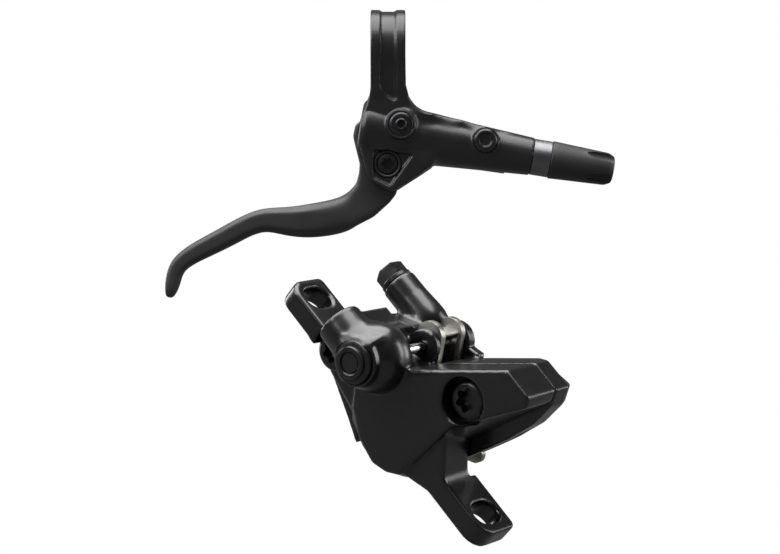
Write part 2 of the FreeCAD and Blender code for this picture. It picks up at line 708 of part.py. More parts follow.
AXLE = on_pads("0", "axle_up")
BOLTS = (("first_bolt_along", "first_bolt_up", "flange_face"), ("second_bolt_along", "second_bolt_up", "flange_face"))


# Outer half: bores, mounting arm with both ears, hose boss and passage dome
def make_outboard_half():
    body = new_body("outboard_half", CALIPER)
    add_core(body)
    add_arm(body)
    low = [(-28, -8.2), (-27.8, 1.5), (-25, 5), (-21, 9.3), (-12.5, 15.2), (-9.3, 10.8), (-5, -5), (-5, -18.5),
           (-11.7, -17.2), (-22.7, -14.8)]
    high = [(-27.8, -5), (-27.8, 1.5), (-25, 5), (-21, 9.3), (-12.5, 15.2), (-9.3, 10.8), (-5, -5), (-5, -12.5),
            (-8.5, -11.6), (-19.5, -9.8)]
    loft(body, "flange", low, "split_plane", high, "flange_face")
    round_bar(body, "first_bolt_boss", "body_bolt_head_radius + 1.4", "flange_face - split_plane",
              ("first_bolt_along", "first_bolt_up", "split_plane"))
    add_ports(body)
    round_bar(body, "axle_lug", "lug_radius", "lug_thickness", (*AXLE, "split_plane"))
    cut_bores(body, "split_plane", "split_plane + caliper_bore_depth", "split_plane + 2.5")
    cut_bolts(body)
    round_bar(body, "axle_hole", "axle_radius + 0.04", "axle_out - split_plane", (*AXLE, "split_plane"), FLAT, True)
    cut_slots(body)
    return body


def add_core(body):
    low = [(-12, 13), (-9.3, 10.8), (-2.5, 11.4), (19.4, 36.2), (28.3, 36.0), (29.4, 33.0), (18.3, 1.4), (18.5, -7.5),
           (14, -15.8), (8, -20.4), (1, -21.8), (-8.6, -19.4), (-12, -14)]
    high = [(-12, 11), (-9, 8), (0.2, 14.4), (19.4, 36.2), (28.3, 36.0), (29.9, 33.7), (18.1, 13.4), (16, -8.7),
            (12.5, -11.5), (8, -13), (1, -11.5), (-6, -7), (-11, 0)]
    loft(body, "core", low, "split_plane", high, "outer_face")


def add_arm(body):
    """The arm that carries both ears, each with a slotted hole along the axle."""
    arm = [(10, 11), (16.3, 11.2), (25.5, 0), (30, 0), (30, "-ear_thickness"), (24, "-ear_thickness"), (16, -8.8), (8, -13.5),
           (2, -13.6)]
    slab(body, "arm", arm, "split_plane", "arm_face")
    round_edges(body, "arm_bends", "3.5", [(16.3, 11.2, 0), (25.5, 0, 0)])
    slab(body, "near_ear_root", [(-30, 0), (-30, "-ear_thickness"), (-25, -6.5), (-25, 0)], "split_plane", "arm_face")
    end = "ear_spacing / 2 + ear_reach"
    near = [("-(%s)" % end, 0), ("-(%s)" % end, "-ear_thickness"), (-29, "-ear_thickness"), (-29, 0)]
    slab(body, "near_ear", near, "ear_inner_face", "arm_face")
    far = [(26, 0), (end, 0), (end, "-ear_thickness"), (26, "-ear_thickness")]
    slab(body, "far_ear", far, "ear_inner_face", "arm_face")
    middle = -size("ear_thickness / 2")
    for name, radius, face in (("outer", "ear_corner", "arm_face"), ("inner", "0.3 * ear_corner", "ear_inner_face")):
        corners = [(side * size(end), middle, size(face)) for side in (-1, 1)]
        round_edges(body, name + "_ear_corners", radius, corners)


def add_ports(body):
    """The hose boss along x, the dome where the passages meet, and its closing boss."""
    half = "hose_boss_radius - 2"
    rib = [("hose_port_start + 1", "hose_port_up - (%s)" % half), ("dome_along", "hose_port_up - (%s)" % half),
           ("dome_along", "hose_port_up + (%s)" % half), ("hose_port_start + 1", "hose_port_up + (%s)" % half)]
    slab(body, "hose_boss_rib", rib, "split_plane + 1", "hose_port_out")
    round_bar(body, "hose_boss", "hose_boss_radius", "dome_along - hose_port_start",
              ("hose_port_start", "hose_port_up", "hose_port_out"), ALONG_X)
    dome = body.newObject("PartDesign::AdditiveSphere", "dome")
    dome.setExpression("Radius", bound("dome_radius"))
    put(dome, ("dome_along", "hose_port_up", "outer_face + 0.9"), FLAT)
    foot, seat = on_dome("passage_plug_face - 11.7"), on_dome("passage_plug_face - 2.6")
    round_bar(body, "plug_boss", "passage_plug_radius + 1", "10", foot)
    round_bar(body, "plug_seat", "passage_plug_radius + 0.05", "4", seat, FLAT, True)
    port = ("hose_port_start", "hose_port_up", "hose_port_out")
    mouth = ("hose_port_start - 1", "hose_port_up", "hose_port_out")
    round_bar(body, "hose_thread", "hose_thread_radius", "port_depth + 1", mouth, ALONG_X, True)
    drill(body, "hose_passage", "passage_radius", port, on_dome("hose_port_out"))
    behind = "split_plane + caliper_bore_depth - passage_radius - 0.1"
    drill(body, "down_passage", "passage_radius", on_dome(behind + " - passage_radius"), on_dome("passage_plug_face"))
    drill(body, "bore_passage", "passage_radius", on_dome(behind), ("piston_along", "-piston_down", behind))
    split = ("crossing_along", "hose_port_up", "split_plane")
    drill(body, "crossing", "passage_radius", split, ("crossing_along", "hose_port_up", "hose_port_out"))
    round_bar(body, "joint_seal_seat", "passage_radius + 1.4", "1.1", split, FLAT, True)


def on_dome(level):
    """A place on the dome's own line, at a level along the axle."""
    return ("dome_along", "hose_port_up", level)


def cut_bores(body, face, floor, groove):
    """The piston's bore with its seal groove, between two levels."""
    low, high = sorted((face, floor), key=size)
    round_bar(body, "piston_bore", "caliper_piston_radius + 0.05", "(%s) - (%s)" % (high, low),
              ("piston_along", "-piston_down", low), FLAT, True)
    round_bar(body, "seal_groove", "caliper_piston_radius + seal_depth", "seal_width", ("piston_along", "-piston_down", groove),
              FLAT, True)


def cut_bolts(body):
    for number, (along, up, face) in enumerate(BOLTS):
        below = (along, up, "-through_cut")
        round_bar(body, "bolt_hole_%d" % number, "body_bolt_radius + 0.05", "2 * through_cut", below, FLAT, True)
        round_bar(body, "head_room_%d" % number, "counterbore_radius", "through_cut", (along, up, face), FLAT, True)


def cut_slots(body):
    """A slotted hole through each ear, long along the axle so the caliper can be set to the disc."""
    middle = "(arm_face + ear_inner_face) / 2"
    straight = "slot_length / 2 - slot_radius"
    for side in ("-ear_spacing / 2", "ear_spacing / 2"):
        slot = [("%s - slot_radius" % side, "-(%s) - (%s)" % (middle, straight)),
                ("%s + slot_radius" % side, "-(%s) - (%s)" % (middle, straight)),
                ("%s + slot_radius" % side, "-(%s) + (%s)" % (middle, straight)),
                ("%s - slot_radius" % side, "-(%s) + (%s)" % (middle, straight))]
        name = "far" if size(side) > 0 else "near"
        flipped = [(across, "-(%s)" % up) for across, up in slot]
        slab(body, name + "_slot", flipped, "-1", "ear_thickness + 1", "XZ_Plane", cut=True)
        for end in ("-", "+"):
            round_bar(body, name + ("_slot_low" if end == "-" else "_slot_high"), "slot_radius", "ear_thickness + 2",
                      (side, "-ear_thickness - 1", "(%s) %s (%s)" % (middle, end, straight)), ALONG_Y, True)


# Inner half: bridge over the disc, pad pocket and the second piston's housing
WAY_CORNER = ("crossing_along", "hose_port_up", "bleed_boss_in")
BEHIND_PISTON = ("piston_along - 0.87 * caliper_piston_radius", "-piston_down + 0.49 * caliper_piston_radius",
                 "2 * disc_plane - split_plane - caliper_bore_depth + passage_radius + 0.1")


def make_inboard_half():
    body = new_body("inboard_half", CALIPER)
    bridge = [(-28, -8.2), (-27.8, 1.5), (-25, 5), (-21, 9.3), (-12.5, 14.8), (-9.3, 10.8), (-2.5, 11.4), (19.4, 36.2),
              (28.3, 36), (30, 31.5), (29.6, 24), (27.2, 15.4), (24.8, 8.9), (18.5, -7.5), (14.2, -16.8), (9.7, -20.6),
              (4.9, -22.5), (0.1, -23.6), (-4.6, -22.6), (-9.8, -20.2), (-22.5, -15)]
    flank = [(-25, -8), (-25, 1), (-22.5, 4.5), (-19, 8.5), (-12, 13.5), (-9, 10), (-1.5, 12), (15, 30.5),
             (25.6, 32.4), (27.5, 28), (27.2, 19.4), (24.7, 10.6), (22.3, 4), (17, -9), (12, -15.5), (8, -18.8),
             (4, -20.3), (0, -21), (-4, -20.6), (-8.5, -18.8), (-19, -14.5)]
    slab(body, "bridge", bridge, "bridge_face", "split_plane")
    loft(body, "flank", flank, "inner_flank", bridge, "bridge_face")
    round_bar(body, "piston_housing", "caliper_piston_radius + housing_wall", "inner_flank - inner_housing_face + 2",
              ("piston_along", "-piston_down", "inner_housing_face"))
    round_bar(body, "bleed_boss", "nipple_boss_radius", "piston_along - bleed_boss_start - 10",
              ("bleed_boss_start", "bleed_boss_up", "bleed_boss_in"), ALONG_X)
    round_bar(body, "axle_lug", "lug_radius + 0.5", "3.3", (*AXLE, "inner_flank - 1"))
    rib_foot = ["0.75 * (%s) + 0.25 * (%s)" % ends for ends in zip(WAY_CORNER, BEHIND_PISTON)]
    drill(body, "slanted_rib", "passage_radius + 1.6", rib_foot, BEHIND_PISTON, cut=False)
    foot = [(-9, 8), (9, 8), (8.7, 18.2), (-3.5, 21.5), (-5.2, 19.5)]
    slab(body, "lug_foot", foot, "inner_flank - 1", "inner_flank + 2.3", frame=PAD_FRAME)
    cut_pocket(body)
    cut_bores(body, "2 * disc_plane - split_plane", "2 * disc_plane - split_plane - caliper_bore_depth",
              "2 * disc_plane - split_plane - 2.5 - seal_width")
    cut_bolts(body)
    round_bar(body, "axle_hole", "axle_radius + 0.04", "through_cut", (*AXLE, "-through_cut - 2"), FLAT, True)
    drill_inner_ways(body)
    return body


def drill_inner_ways(body):
    """The oil's way from the outer half to the nipple and, through a rib, behind the piston."""
    drill(body, "crossing", "passage_radius", WAY_CORNER, ("crossing_along", "hose_port_up", "split_plane"))
    mouth = ("bleed_boss_start - 1", "bleed_boss_up", "bleed_boss_in")
    round_bar(body, "nipple_thread", "nipple_thread_radius + 0.03", "10", mouth, ALONG_X, True)
    turning = ("crossing_along", "bleed_boss_up", "bleed_boss_in")
    drill(body, "bleed_passage", "passage_radius", mouth, turning)
    drill(body, "bleed_link", "passage_radius", turning, WAY_CORNER)
    drill(body, "slanted_way", "passage_radius", WAY_CORNER, BEHIND_PISTON)


def cut_pocket(body):
    """Room for both pads and their tabs, and the way for the disc."""
    wide, tall, tab = "pad_half_width + pocket_gap", "pad_top + 1", "tab_half_width + 1"
    ear, shoulder = wide + " + pad_ear", "2 * pad_ear - pad_drop + 0.7 + pocket_gap"
    right = [(ear, -32), (ear, shoulder), (wide, shoulder), (wide, tall), (tab, tall), (tab, 34)]
    left = [("-(%s)" % along, out) for along, out in reversed(right)]
    slab(body, "pad_room", right + left, "2 * disc_plane - split_plane", "split_plane + 1", frame=PAD_FRAME, cut=True)
    centre = (*on_pads("0", "-pad_radius"), "disc_plane - disc_thickness / 2 - 1.1")
    round_bar(body, "disc_way", "disc_radius + 1", "disc_thickness + 2.2", centre, FLAT, True)


# Pads, pistons and what holds them
def make_pads():
    """Both pads, mirrored about the disc: each a backing plate and a friction block."""
    plate_gap = "disc_thickness / 2 + disc_gap + friction_thickness"
    for label, side in (("outboard", "+"), ("inboard", "-")):
        plate = new_body(label + "_pad_plate", CALIPER)
        wide, top, tab = "pad_half_width", "pad_top", "tab_half_width"
        low, high, tip = "-pad_drop + 0.6", "-pad_drop + 0.7 + 2 * pad_ear", wide + " + pad_ear"
        right = [(wide + " - 4", "-pad_drop"), (wide + " - 2.2", low), (tip, low), (tip, high), (wide, high),
                 (wide, top + " - 4"), (wide + " - 4", top), (tab + " + 1", top), (tab, top + " + 3"), (tab, "tab_top")]
        left = [("-(%s)" % along, out) for along, out in reversed(right)]
        near, far = between(side, plate_gap, plate_gap + " + plate_thickness")
        slab(plate, "plate", right + left, near, far, frame=PAD_FRAME)
        middle = "((%s) + (%s)) / 2" % (near, far)
        for name, radius, corners in (("tab", tab + " - 0.1", [(tab, "tab_top")]),
                                      ("ear", "pad_ear - 0.05", [(tip, low), (tip, high)])):
            ends = [(side_sign + "(%s)" % along, out) for along, out in corners for side_sign in ("", "-")]
            places = [[size(words) for words in (*on_pads(*end), middle)] for end in ends]
            round_edges(plate, name + "_round", radius, places)
        round_bar(plate, "axle_hole", "axle_radius + 0.06", "2 * through_cut", (*AXLE, "-1.5 * through_cut"), FLAT, True)
        block = new_body(label + "_pad_friction", CALIPER)
        corners = [(-11, -9.4), (11, -9.4), (13.8, -6.6), (13.8, 4.2), (10.6, 7.8), (-10.6, 7.8), (-13.8, 4.2), (-13.8, -6.6)]
        near, far = between(side, "disc_thickness / 2 + disc_gap", plate_gap)
        slab(block, "block", corners, near, far, frame=PAD_FRAME)


def between(side, near, far):
    """Two levels on one side of the disc's middle plane, lower one first."""
    levels = ["disc_plane %s (%s)" % (side, words) for words in (near, far)]
    return sorted(levels, key=size)


def make_caliper_pistons():
    """Cup pistons behind both pads with square-section seals round them."""
    face = "disc_thickness / 2 + disc_gap + friction_thickness + plate_thickness + 0.05"
    radius = "caliper_piston_radius"
    for label, side, rotation in (("outboard", "+", FLAT), ("inboard", "-", Rotation(Vector(1, 0, 0), 180))):
        level = size("disc_plane %s (%s)" % (side, face))
        place = CALIPER.multiply(Placement(Vector(size("piston_along"), -size("piston_down"), level), rotation))
        body = new_body(label + "_piston", place)
        hollow, long = radius + " - 3", "caliper_bore_depth - 0.4"
        turn(body, "cup", [("0", 4.6), (hollow, 4.6), (hollow, "0"), (radius, "0"), (radius, long), ("0", long)])
        seat = "split_plane + 2.5 - (%s)" % ("disc_plane + " + face)
        make_ring(label + "_piston_seal", place, radius + " + 0.02", radius + " + seal_depth", seat + " + 0.05",
                  seat + " + seal_width - 0.05")


def make_pad_spring():
    """A bent sheet spring: two legs against the pads' tabs joined over the axle."""
    body = new_body("pad_spring", CALIPER)
    crown = "axle_up + 3.4"
    leg = [(-3, "pad_top"), (3, "pad_top"), (3, crown), (-3, crown)]
    reach = "disc_thickness / 2 + disc_gap + friction_thickness"
    for name, side in (("outer", "+"), ("inner", "-")):
        near, far = between(side, reach + " - spring_sheet", reach)
        slab(body, name + "_leg", leg, near, far, frame=PAD_FRAME)
        if name == "outer":
            top = [(-3, crown + " - spring_sheet"), (3, crown + " - spring_sheet"), (3, crown), (-3, crown)]
            slab(body, "arch", top, "disc_plane - (%s)" % reach, "disc_plane + (%s)" % reach, frame=PAD_FRAME)
    round_bar(body, "axle_hole", "axle_radius + 0.3", "2 * through_cut", (*AXLE, "-1.5 * through_cut"), FLAT, True)


def make_pad_axle():
    place = CALIPER.multiply(Placement(Vector(size(AXLE[0]), size(AXLE[1]), 0), FLAT))
    body = new_body("pad_axle", place)
    radius, neck = "axle_radius", "axle_radius - 0.3"
    start, end = "axle_in + 0.6", "axle_in + 1.2"
    profile = [("0", "axle_in"), (radius, "axle_in"), (radius, start), (neck, start), (neck, end), (radius, end),
               (radius, "axle_out"), ("0", "axle_out")]
    turn(body, "axle", profile)
    make_ring("axle_clip", place, neck, radius + " + 1.3", start, end)


def make_bleed_nipple():
    """A hexagon nipple screwed into the inner half's boss."""
    start = Vector(size("bleed_boss_start"), size("bleed_boss_up"), size("bleed_boss_in"))
    body = new_body("bleed_nipple", CALIPER.multiply(Placement(start, Rotation(Vector(0, 1, 0), -90))))
    thread = "nipple_thread_radius"
    turn(body, "stem", [("0", -8), (thread, -8), (thread, "0"), (4.4, "0"), (4.4, 1.4), (2.0, 1.4), (2.0, 5.3), ("0", 5.3)])
    hex_bar(body, "hexagon", "nipple_flats", "3.6", ("0", "0", "1.4"))
    round_bar(body, "drilling", "0.8", "through_cut", ("0", "0", "-10"), FLAT, True)


def make_passage_plug():
    start = Vector(*[size(words) for words in on_dome("passage_plug_face - 2.6")])
    body = new_body("passage_plug", CALIPER.multiply(Placement(start, FLAT)))
    radius, dish, deep, face = "passage_plug_radius", 2.2, 2.0, 2.6
    profile = [("0", "0"), (radius, "0"), (radius, deep), (radius + " - 0.6", face), (dish, face), (dish, deep), ("0", deep)]
    turn(body, "plug", profile)


def make_body_bolts():
    """The two bolts that hold the caliper's halves together."""
    bolts = []
    length = size("flange_face - inner_flank + 1.5")
    for along, up, face in BOLTS:
        shank = Part.makeCylinder(size("body_bolt_radius"), length, Vector(0, 0, -length))
        head = Part.makeCylinder(size("body_bolt_head_radius"), size("body_bolt_head_height"))
        head = head.makeChamfer(0.5, [head.Edges[0]])
        socket = Part.makeCylinder(2.3, 2.2, Vector(0, 0, size("body_bolt_head_height - 2.2")))
        bolt = shank.fuse(head).cut(socket).removeSplitter()
        bolt.translate(Vector(size(along), size(up), size(face)))
        bolts.append(bolt)
    new_feature("body_bolts", Part.makeCompound(bolts), CALIPER)


def make_joint_seal():
    """The small ring that seals the oil way between the two halves."""
    start = Vector(*[size(words) for words in ("crossing_along", "hose_port_up", "split_plane")])
    place = CALIPER.multiply(Placement(start, FLAT))
    make_ring("joint_seal", place, "passage_radius", "passage_radius + 1.4", "0.02", "1.1")


def make_lid_screws():
    """The reservoir lid's two screws."""
    screws = []
    for place in lid_screw_places():
        shank = Part.makeCylinder(size("lid_screw_radius"), size("lid_thickness + diaphragm_thickness + 4"))
        shank.translate(Vector(0, 0, -size("lid_thickness + diaphragm_thickness + 4")))
        head = Part.makeCylinder(2.2, 1.4)
        socket = Part.makeCylinder(0.9, 1.0, Vector(0, 0, 0.6))
        screw = shank.fuse(head).cut(socket).removeSplitter()
        back = "-reservoir_back - diaphragm_thickness - lid_thickness"
        start = Vector(*[size(words) for words in on_cylinder(place, "0", back)])
        screw.Placement = Placement(start, ALONG_Y)
        screws.append(screw)
    new_feature("lid_screws", Part.makeCompound(screws))


def check_and_write():
    """Stop on any faulty object, then write each sub-part to its own file."""
    doc.recompute()
    for item in doc.Objects:
        if "Invalid" in item.State or "Error" in item.State:
            raise ValueError("%s failed: %s" % (item.Name, item.State))
    os.makedirs("parts", exist_ok=True)
    for item in parts:
        if item.Shape.isNull() or not item.Shape.isValid():
            raise ValueError(item.Label + " has no valid shape")
        item.Shape.exportStep("parts/" + item.Label + ".step")


make_lever_body()
make_clamp_screw()
make_bleed_screw()
make_bleed_oring()
make_port_plug()
make_diaphragm()
make_lid()
make_lid_screws()
make_pivot_pin()
make_pivot_washer()
make_pivot_clip()
make_blade_bush()
make_lever_blade()
make_reach_screw()
make_master_piston()
make_master_seals()
make_return_spring()
make_piston_circlip()
make_hose_nut()
make_hose_nut_cover()
make_outboard_half()
make_inboard_half()
make_body_bolts()
make_joint_seal()
make_pads()
make_caliper_pistons()
make_pad_spring()
make_pad_axle()
make_bleed_nipple()
make_passage_plug()
check_and_write()
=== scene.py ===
# %% [markdown]
# # A hydraulic disc brake, dressed in Blender
# The brake is a hand lever with its master cylinder, and a caliper that squeezes a disc.
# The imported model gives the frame: every sub-part at its true size and place, in metres.
# This lesson lights it, gives each finish its real surface, and remakes the shapes that
# casting, moulding and machining leave softer or finer than a plain solid.

# %% Load the frame
import json
import math
import bpy
from mathutils import Matrix, Vector


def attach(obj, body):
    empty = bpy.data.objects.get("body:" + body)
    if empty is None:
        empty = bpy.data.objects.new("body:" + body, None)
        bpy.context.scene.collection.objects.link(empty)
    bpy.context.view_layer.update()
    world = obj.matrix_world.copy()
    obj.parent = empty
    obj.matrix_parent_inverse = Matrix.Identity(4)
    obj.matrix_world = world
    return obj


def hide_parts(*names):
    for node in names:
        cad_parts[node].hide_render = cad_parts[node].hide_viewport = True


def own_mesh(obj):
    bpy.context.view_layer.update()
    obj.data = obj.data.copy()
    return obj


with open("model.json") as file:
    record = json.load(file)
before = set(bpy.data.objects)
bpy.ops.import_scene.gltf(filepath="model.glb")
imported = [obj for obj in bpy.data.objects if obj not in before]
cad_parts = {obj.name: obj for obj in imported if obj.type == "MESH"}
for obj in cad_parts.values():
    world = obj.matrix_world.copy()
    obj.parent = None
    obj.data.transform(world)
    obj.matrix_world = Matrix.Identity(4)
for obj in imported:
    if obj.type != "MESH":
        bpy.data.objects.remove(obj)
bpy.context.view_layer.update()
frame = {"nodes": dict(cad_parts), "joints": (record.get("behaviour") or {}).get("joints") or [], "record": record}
nodes = frame["nodes"]
MM = 0.001
print("nodes in the frame:", len(nodes))

# %% [markdown]
# ## Camera
# A catalogue picture of small hardware is taken with a long lens from well back, so that
# lines that run away from the camera hardly close in. This lens and distance give 2.5
# pixels a millimetre at the lever and 3.85 at the caliper, which stands nearer: the two
# scales that the photograph has. The camera looks straight along +Y.

# %% Camera
PICTURE_WIDTH = 780
FOCAL_PIXELS = 2000
SENSOR_WIDTH = 36
CAMERA_PLACE = Vector((0.8, -800, -90.8))
camera_data = bpy.data.cameras.new("camera")
camera_data.sensor_width = SENSOR_WIDTH
camera_data.lens = FOCAL_PIXELS / PICTURE_WIDTH * SENSOR_WIDTH
camera_data.clip_start = 0.01
camera = bpy.data.objects.new("camera", camera_data)
camera.location = CAMERA_PLACE * MM
camera.rotation_euler = (math.radians(90), 0, 0)
bpy.context.scene.collection.objects.link(camera)
bpy.context.scene.camera = camera
print("lens in millimetres:", round(camera_data.lens, 1))

# %% [markdown]
# ## Colours and nodes
# Finishes are written as sRGB hex values, as a paint chart gives them, and turned to the
# linear values that a shader works in. One small helper adds a node with its settings and
# links, so that a shader can be written down as a short list.

# %% Helpers for nodes
def linear(hex_colour):
    """An sRGB hex colour as linear red, green, blue and alpha."""
    parts = [int(hex_colour[i:i + 2], 16) / 255 for i in (1, 3, 5)]
    return [c / 12.92 if c <= 0.04045 else ((c + 0.055) / 1.055) ** 2.4 for c in parts] + [1.0]


def add_node(tree, kind, links=None, **settings):
    """A node with its settings, its sockets' values and the links into them."""
    node = tree.nodes.new(kind)
    for name, value in settings.items():
        setattr(node, name, value)
    for socket, value in (links or {}).items():
        target = node.inputs[socket]
        if isinstance(value, bpy.types.NodeSocket):
            tree.links.new(value, target)
        else:
            target.default_value = value
    return node


def new_material(name):
    """An empty material and its node tree."""
    material = bpy.data.materials.new(name)
    material.use_nodes = True
    material.node_tree.nodes.clear()
    return material, material.node_tree

# %% [markdown]
# ## One recipe for all finishes
# No real surface is one even colour. Here a slow, cloudy noise drifts between two colours
# and two roughnesses, and a fine noise lifts the surface by less than a tenth of a
# millimetre. Both noises sit on the piece's own coordinates, so they stay on it as it moves.

# %% The recipe
NOISE_LOW, NOISE_HIGH = 0.3, 0.7


def grain(tree, size_mm, detail):
    """Even noise of a given size on the piece's own coordinates."""
    place = add_node(tree, "ShaderNodeTexCoord")
    links = {"Vector": place.outputs["Object"], "Scale": 1 / (size_mm * MM), "Detail": detail}
    return add_node(tree, "ShaderNodeTexNoise", links)


def grained(name, colours, roughness, fine, cloud, relief, details=(3.0, 3.0), **sockets):
    """A finish that drifts with a cloud and has a fine relief, all sizes in millimetres."""
    material, tree = new_material(name)
    fine_noise, cloud_noise = grain(tree, fine, details[0]), grain(tree, cloud, details[1])
    paint = add_node(tree, "ShaderNodeMix", {"Factor": cloud_noise.outputs[0]}, data_type="RGBA")
    paint.inputs[6].default_value, paint.inputs[7].default_value = map(linear, colours)
    sheen = add_node(tree, "ShaderNodeMapRange", {
        "Value": cloud_noise.outputs[0], "From Min": NOISE_LOW, "From Max": NOISE_HIGH,
        "To Min": roughness[0], "To Max": roughness[1]})
    bump = add_node(tree, "ShaderNodeBump", {
        "Height": fine_noise.outputs[0], "Distance": relief * MM, "Strength": 1.0})
    shader = add_node(tree, "ShaderNodeBsdfPrincipled", {
        "Base Color": paint.outputs[2], "Roughness": sheen.outputs[0], "Normal": bump.outputs[0]})
    for socket, value in sockets.items():
        shader.inputs[socket.replace("_", " ")].default_value = value
    add_node(tree, "ShaderNodeOutputMaterial", {"Surface": shader.outputs[0]})
    return material

# %% [markdown]
# ## Paints
# The lever's casting is painted a satin black, the blade a duller one that grips the
# finger, and the caliper a glossy one that throws long streaks of light. The three blacks
# differ more in their sheen than in their colour, as they do in the photograph.

# %% Paints of the castings
def satin_paint():
    """Satin powder paint on cast aluminium: a soft sheen over a very fine orange peel."""
    return grained("satin_black_paint", ("#18181a", "#1f1f21"), (0.3, 0.37),
                   fine=0.35, cloud=9, relief=0.01)


def blade_paint():
    """Matte textured paint on a forged blade: an even grain that kills sharp reflections."""
    return grained("matte_black_paint", ("#222224", "#2a2a2c"), (0.46, 0.54),
                   fine=0.3, cloud=12, relief=0.03)


def caliper_paint():
    """Gloss black enamel on cast aluminium under a thin clear layer."""
    return grained("gloss_black_enamel", ("#070708", "#0b0b0c"), (0.27, 0.34),
                   fine=0.6, cloud=8, relief=0.004, Coat_Weight=0.35, Coat_Roughness=0.16)

# %% [markdown]
# ## Metals
# The screws are blackened steel, which still reflects as metal. The hose nut's collar is
# anodised, the pads' plates are stamped and left bare, and the springs are polished.

# %% Metals
def black_oxide():
    """Black oxide on turned steel: dark, and still a metal."""
    return grained("black_oxide_steel", ("#38383a", "#464648"), (0.26, 0.36),
                   fine=0.25, cloud=3, relief=0.006, Metallic=0.9)


def satin_anodising():
    """Dark anodising over turned aluminium: a broad, soft metal sheen."""
    return grained("dark_anodised_aluminium", ("#666668", "#747476"), (0.36, 0.44),
                   fine=0.25, cloud=4, relief=0.006, Metallic=1.0)


def bare_steel():
    """Stamped steel left bare: grey, dull and slightly mottled."""
    return grained("stamped_steel", ("#8e8c87", "#b3b1ab"), (0.3, 0.45),
                   fine=0.2, cloud=4, relief=0.01, Metallic=1.0)


def bright_steel():
    """Polished spring steel."""
    return grained("polished_steel", ("#c4c4c2", "#d9d9d7"), (0.14, 0.24),
                   fine=0.3, cloud=5, relief=0.004, Metallic=1.0)


def bronze():
    """Sintered bronze, oil-filled: dull and speckled."""
    return grained("sintered_bronze", ("#8a6a35", "#a9864a"), (0.35, 0.5),
                   fine=0.2, cloud=1.5, relief=0.01, Metallic=1.0)

# %% [markdown]
# ## Rubber, nylon and resins
# Seals and the nut's cover are moulded rubber, which takes its grain from the spark-worn
# tool. The pistons are pressed resin, and the pads' linings are resin full of grit.

# %% Rubber, nylon and resins
def moulded_rubber():
    """Black moulded rubber: matte with a fine leathery grain."""
    return grained("moulded_rubber", ("#18181a", "#202022"), (0.5, 0.62),
                   fine=0.4, cloud=7, relief=0.04, details=(5.0, 3.0))


def black_nylon():
    """Glass-filled nylon, moulded: dark, slightly cloudy."""
    return grained("black_nylon", ("#18181a", "#1f1f21"), (0.36, 0.46),
                   fine=0.3, cloud=5, relief=0.012)


def piston_resin():
    """Phenolic resin, pressed and ground: warm, stone-like."""
    return grained("phenolic_resin", ("#b8ab92", "#cfc4ad"), (0.5, 0.62),
                   fine=0.35, cloud=3, relief=0.015, details=(6.0, 3.0))


def friction_resin():
    """A resin-bound friction block with bright fibres and grit."""
    return grained("friction_resin", ("#3a2f27", "#6b5a4a"), (0.65, 0.85),
                   fine=0.5, cloud=0.9, relief=0.08, details=(8.0, 6.0))

# %% [markdown]
# ## Each node gets its finish
# The imported record names a material slot for every node, so one table from slot to finish
# paints them all. A piece that later stands for a node takes the finish of the same slot.

# %% Give each node its finish
finishes = {"body_black": satin_paint(), "blade_black": blade_paint(), "caliper_black": caliper_paint(),
            "screw_black": black_oxide(), "bare_steel": bare_steel(), "bright_steel": bright_steel(),
            "seal_rubber": moulded_rubber(), "cover_rubber": moulded_rubber(), "black_plastic": black_nylon(),
            "piston_resin": piston_resin(), "friction_resin": friction_resin(), "brass_bush": bronze()}
slots = {entry["node"]: entry["material_slot"] for entry in frame["record"]["subparts"]}
for name, node in nodes.items():
    node.data.materials.clear()
    node.data.materials.append(finishes[slots[name]])
print("finishes:", len(finishes))

# %% [markdown]
# ## Axes of the two units
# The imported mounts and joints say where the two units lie: the master piston's line is the
# cylinder's axis, and the caliper's three axes are those of its hose port, its mounting
# face and its pads. Each unit's shapes are then given in plain millimetres along its axes.

# %% Axes of the caliper
record = frame["record"]
mounts = {mount["name"]: mount for mount in record["mounts"]}
joints = {joint["name"]: joint for joint in frame["joints"]}
EAR_THICKNESS = 6.0
SLOT_MIDDLE = 0.25


def axes_at(origin, across, up, out):
    """The matrix of a place whose own X, Y and Z point along three directions."""
    return Matrix.Translation(origin) @ Matrix((across, up, out)).transposed().to_4x4()


def moved(place, across, up, out):
    """A place shifted along its own axes by millimetres."""
    return place @ Matrix.Translation(Vector((across, up, out)) * MM)


caliper_across = -Vector(mounts["caliper_hose_port"]["axis"])
caliper_up = -Vector(mounts["post_mount_face"]["axis"])
caliper_out = Vector(joints["inboard_pad_slide"]["axis"])
slots_middle = Vector(mounts["post_mount_slots"]["pos_m"])
CALIPER = axes_at(slots_middle + caliper_up * EAR_THICKNESS * MM - caliper_out * SLOT_MIDDLE * MM,
                  caliper_across, caliper_up, caliper_out)
print("caliper's origin in millimetres:", [round(v / MM, 1) for v in CALIPER.translation])

# %% Axes of the lever
INLET_MIDDLE = 71.94
PIVOT_FLOOR = 9.8
way = Vector(joints["master_piston_slide"]["axis"])
back = Vector((0, 1, 0))
inlet = Vector(mounts["lever_hose_inlet"]["pos_m"])
CYLINDER = axes_at(inlet - way * INLET_MIDDLE * MM, back.cross(way), back, way)
pivot = Vector(joints["lever_pivot"]["pos_m"])
PIVOT = axes_at((pivot.x, -PIVOT_FLOOR * MM, pivot.z), (1, 0, 0), (0, 0, -1), (0, 1, 0))
FRONT = axes_at((0, 0, 0), (1, 0, 0), (0, 0, 1), (0, -1, 0))
SIDE = axes_at((0, 0, 0), (0, -1, 0), (0, 0, 1), (-1, 0, 0))
TOP = axes_at((0, 0, 0), (1, 0, 0), (0, -1, 0), (0, 0, -1))


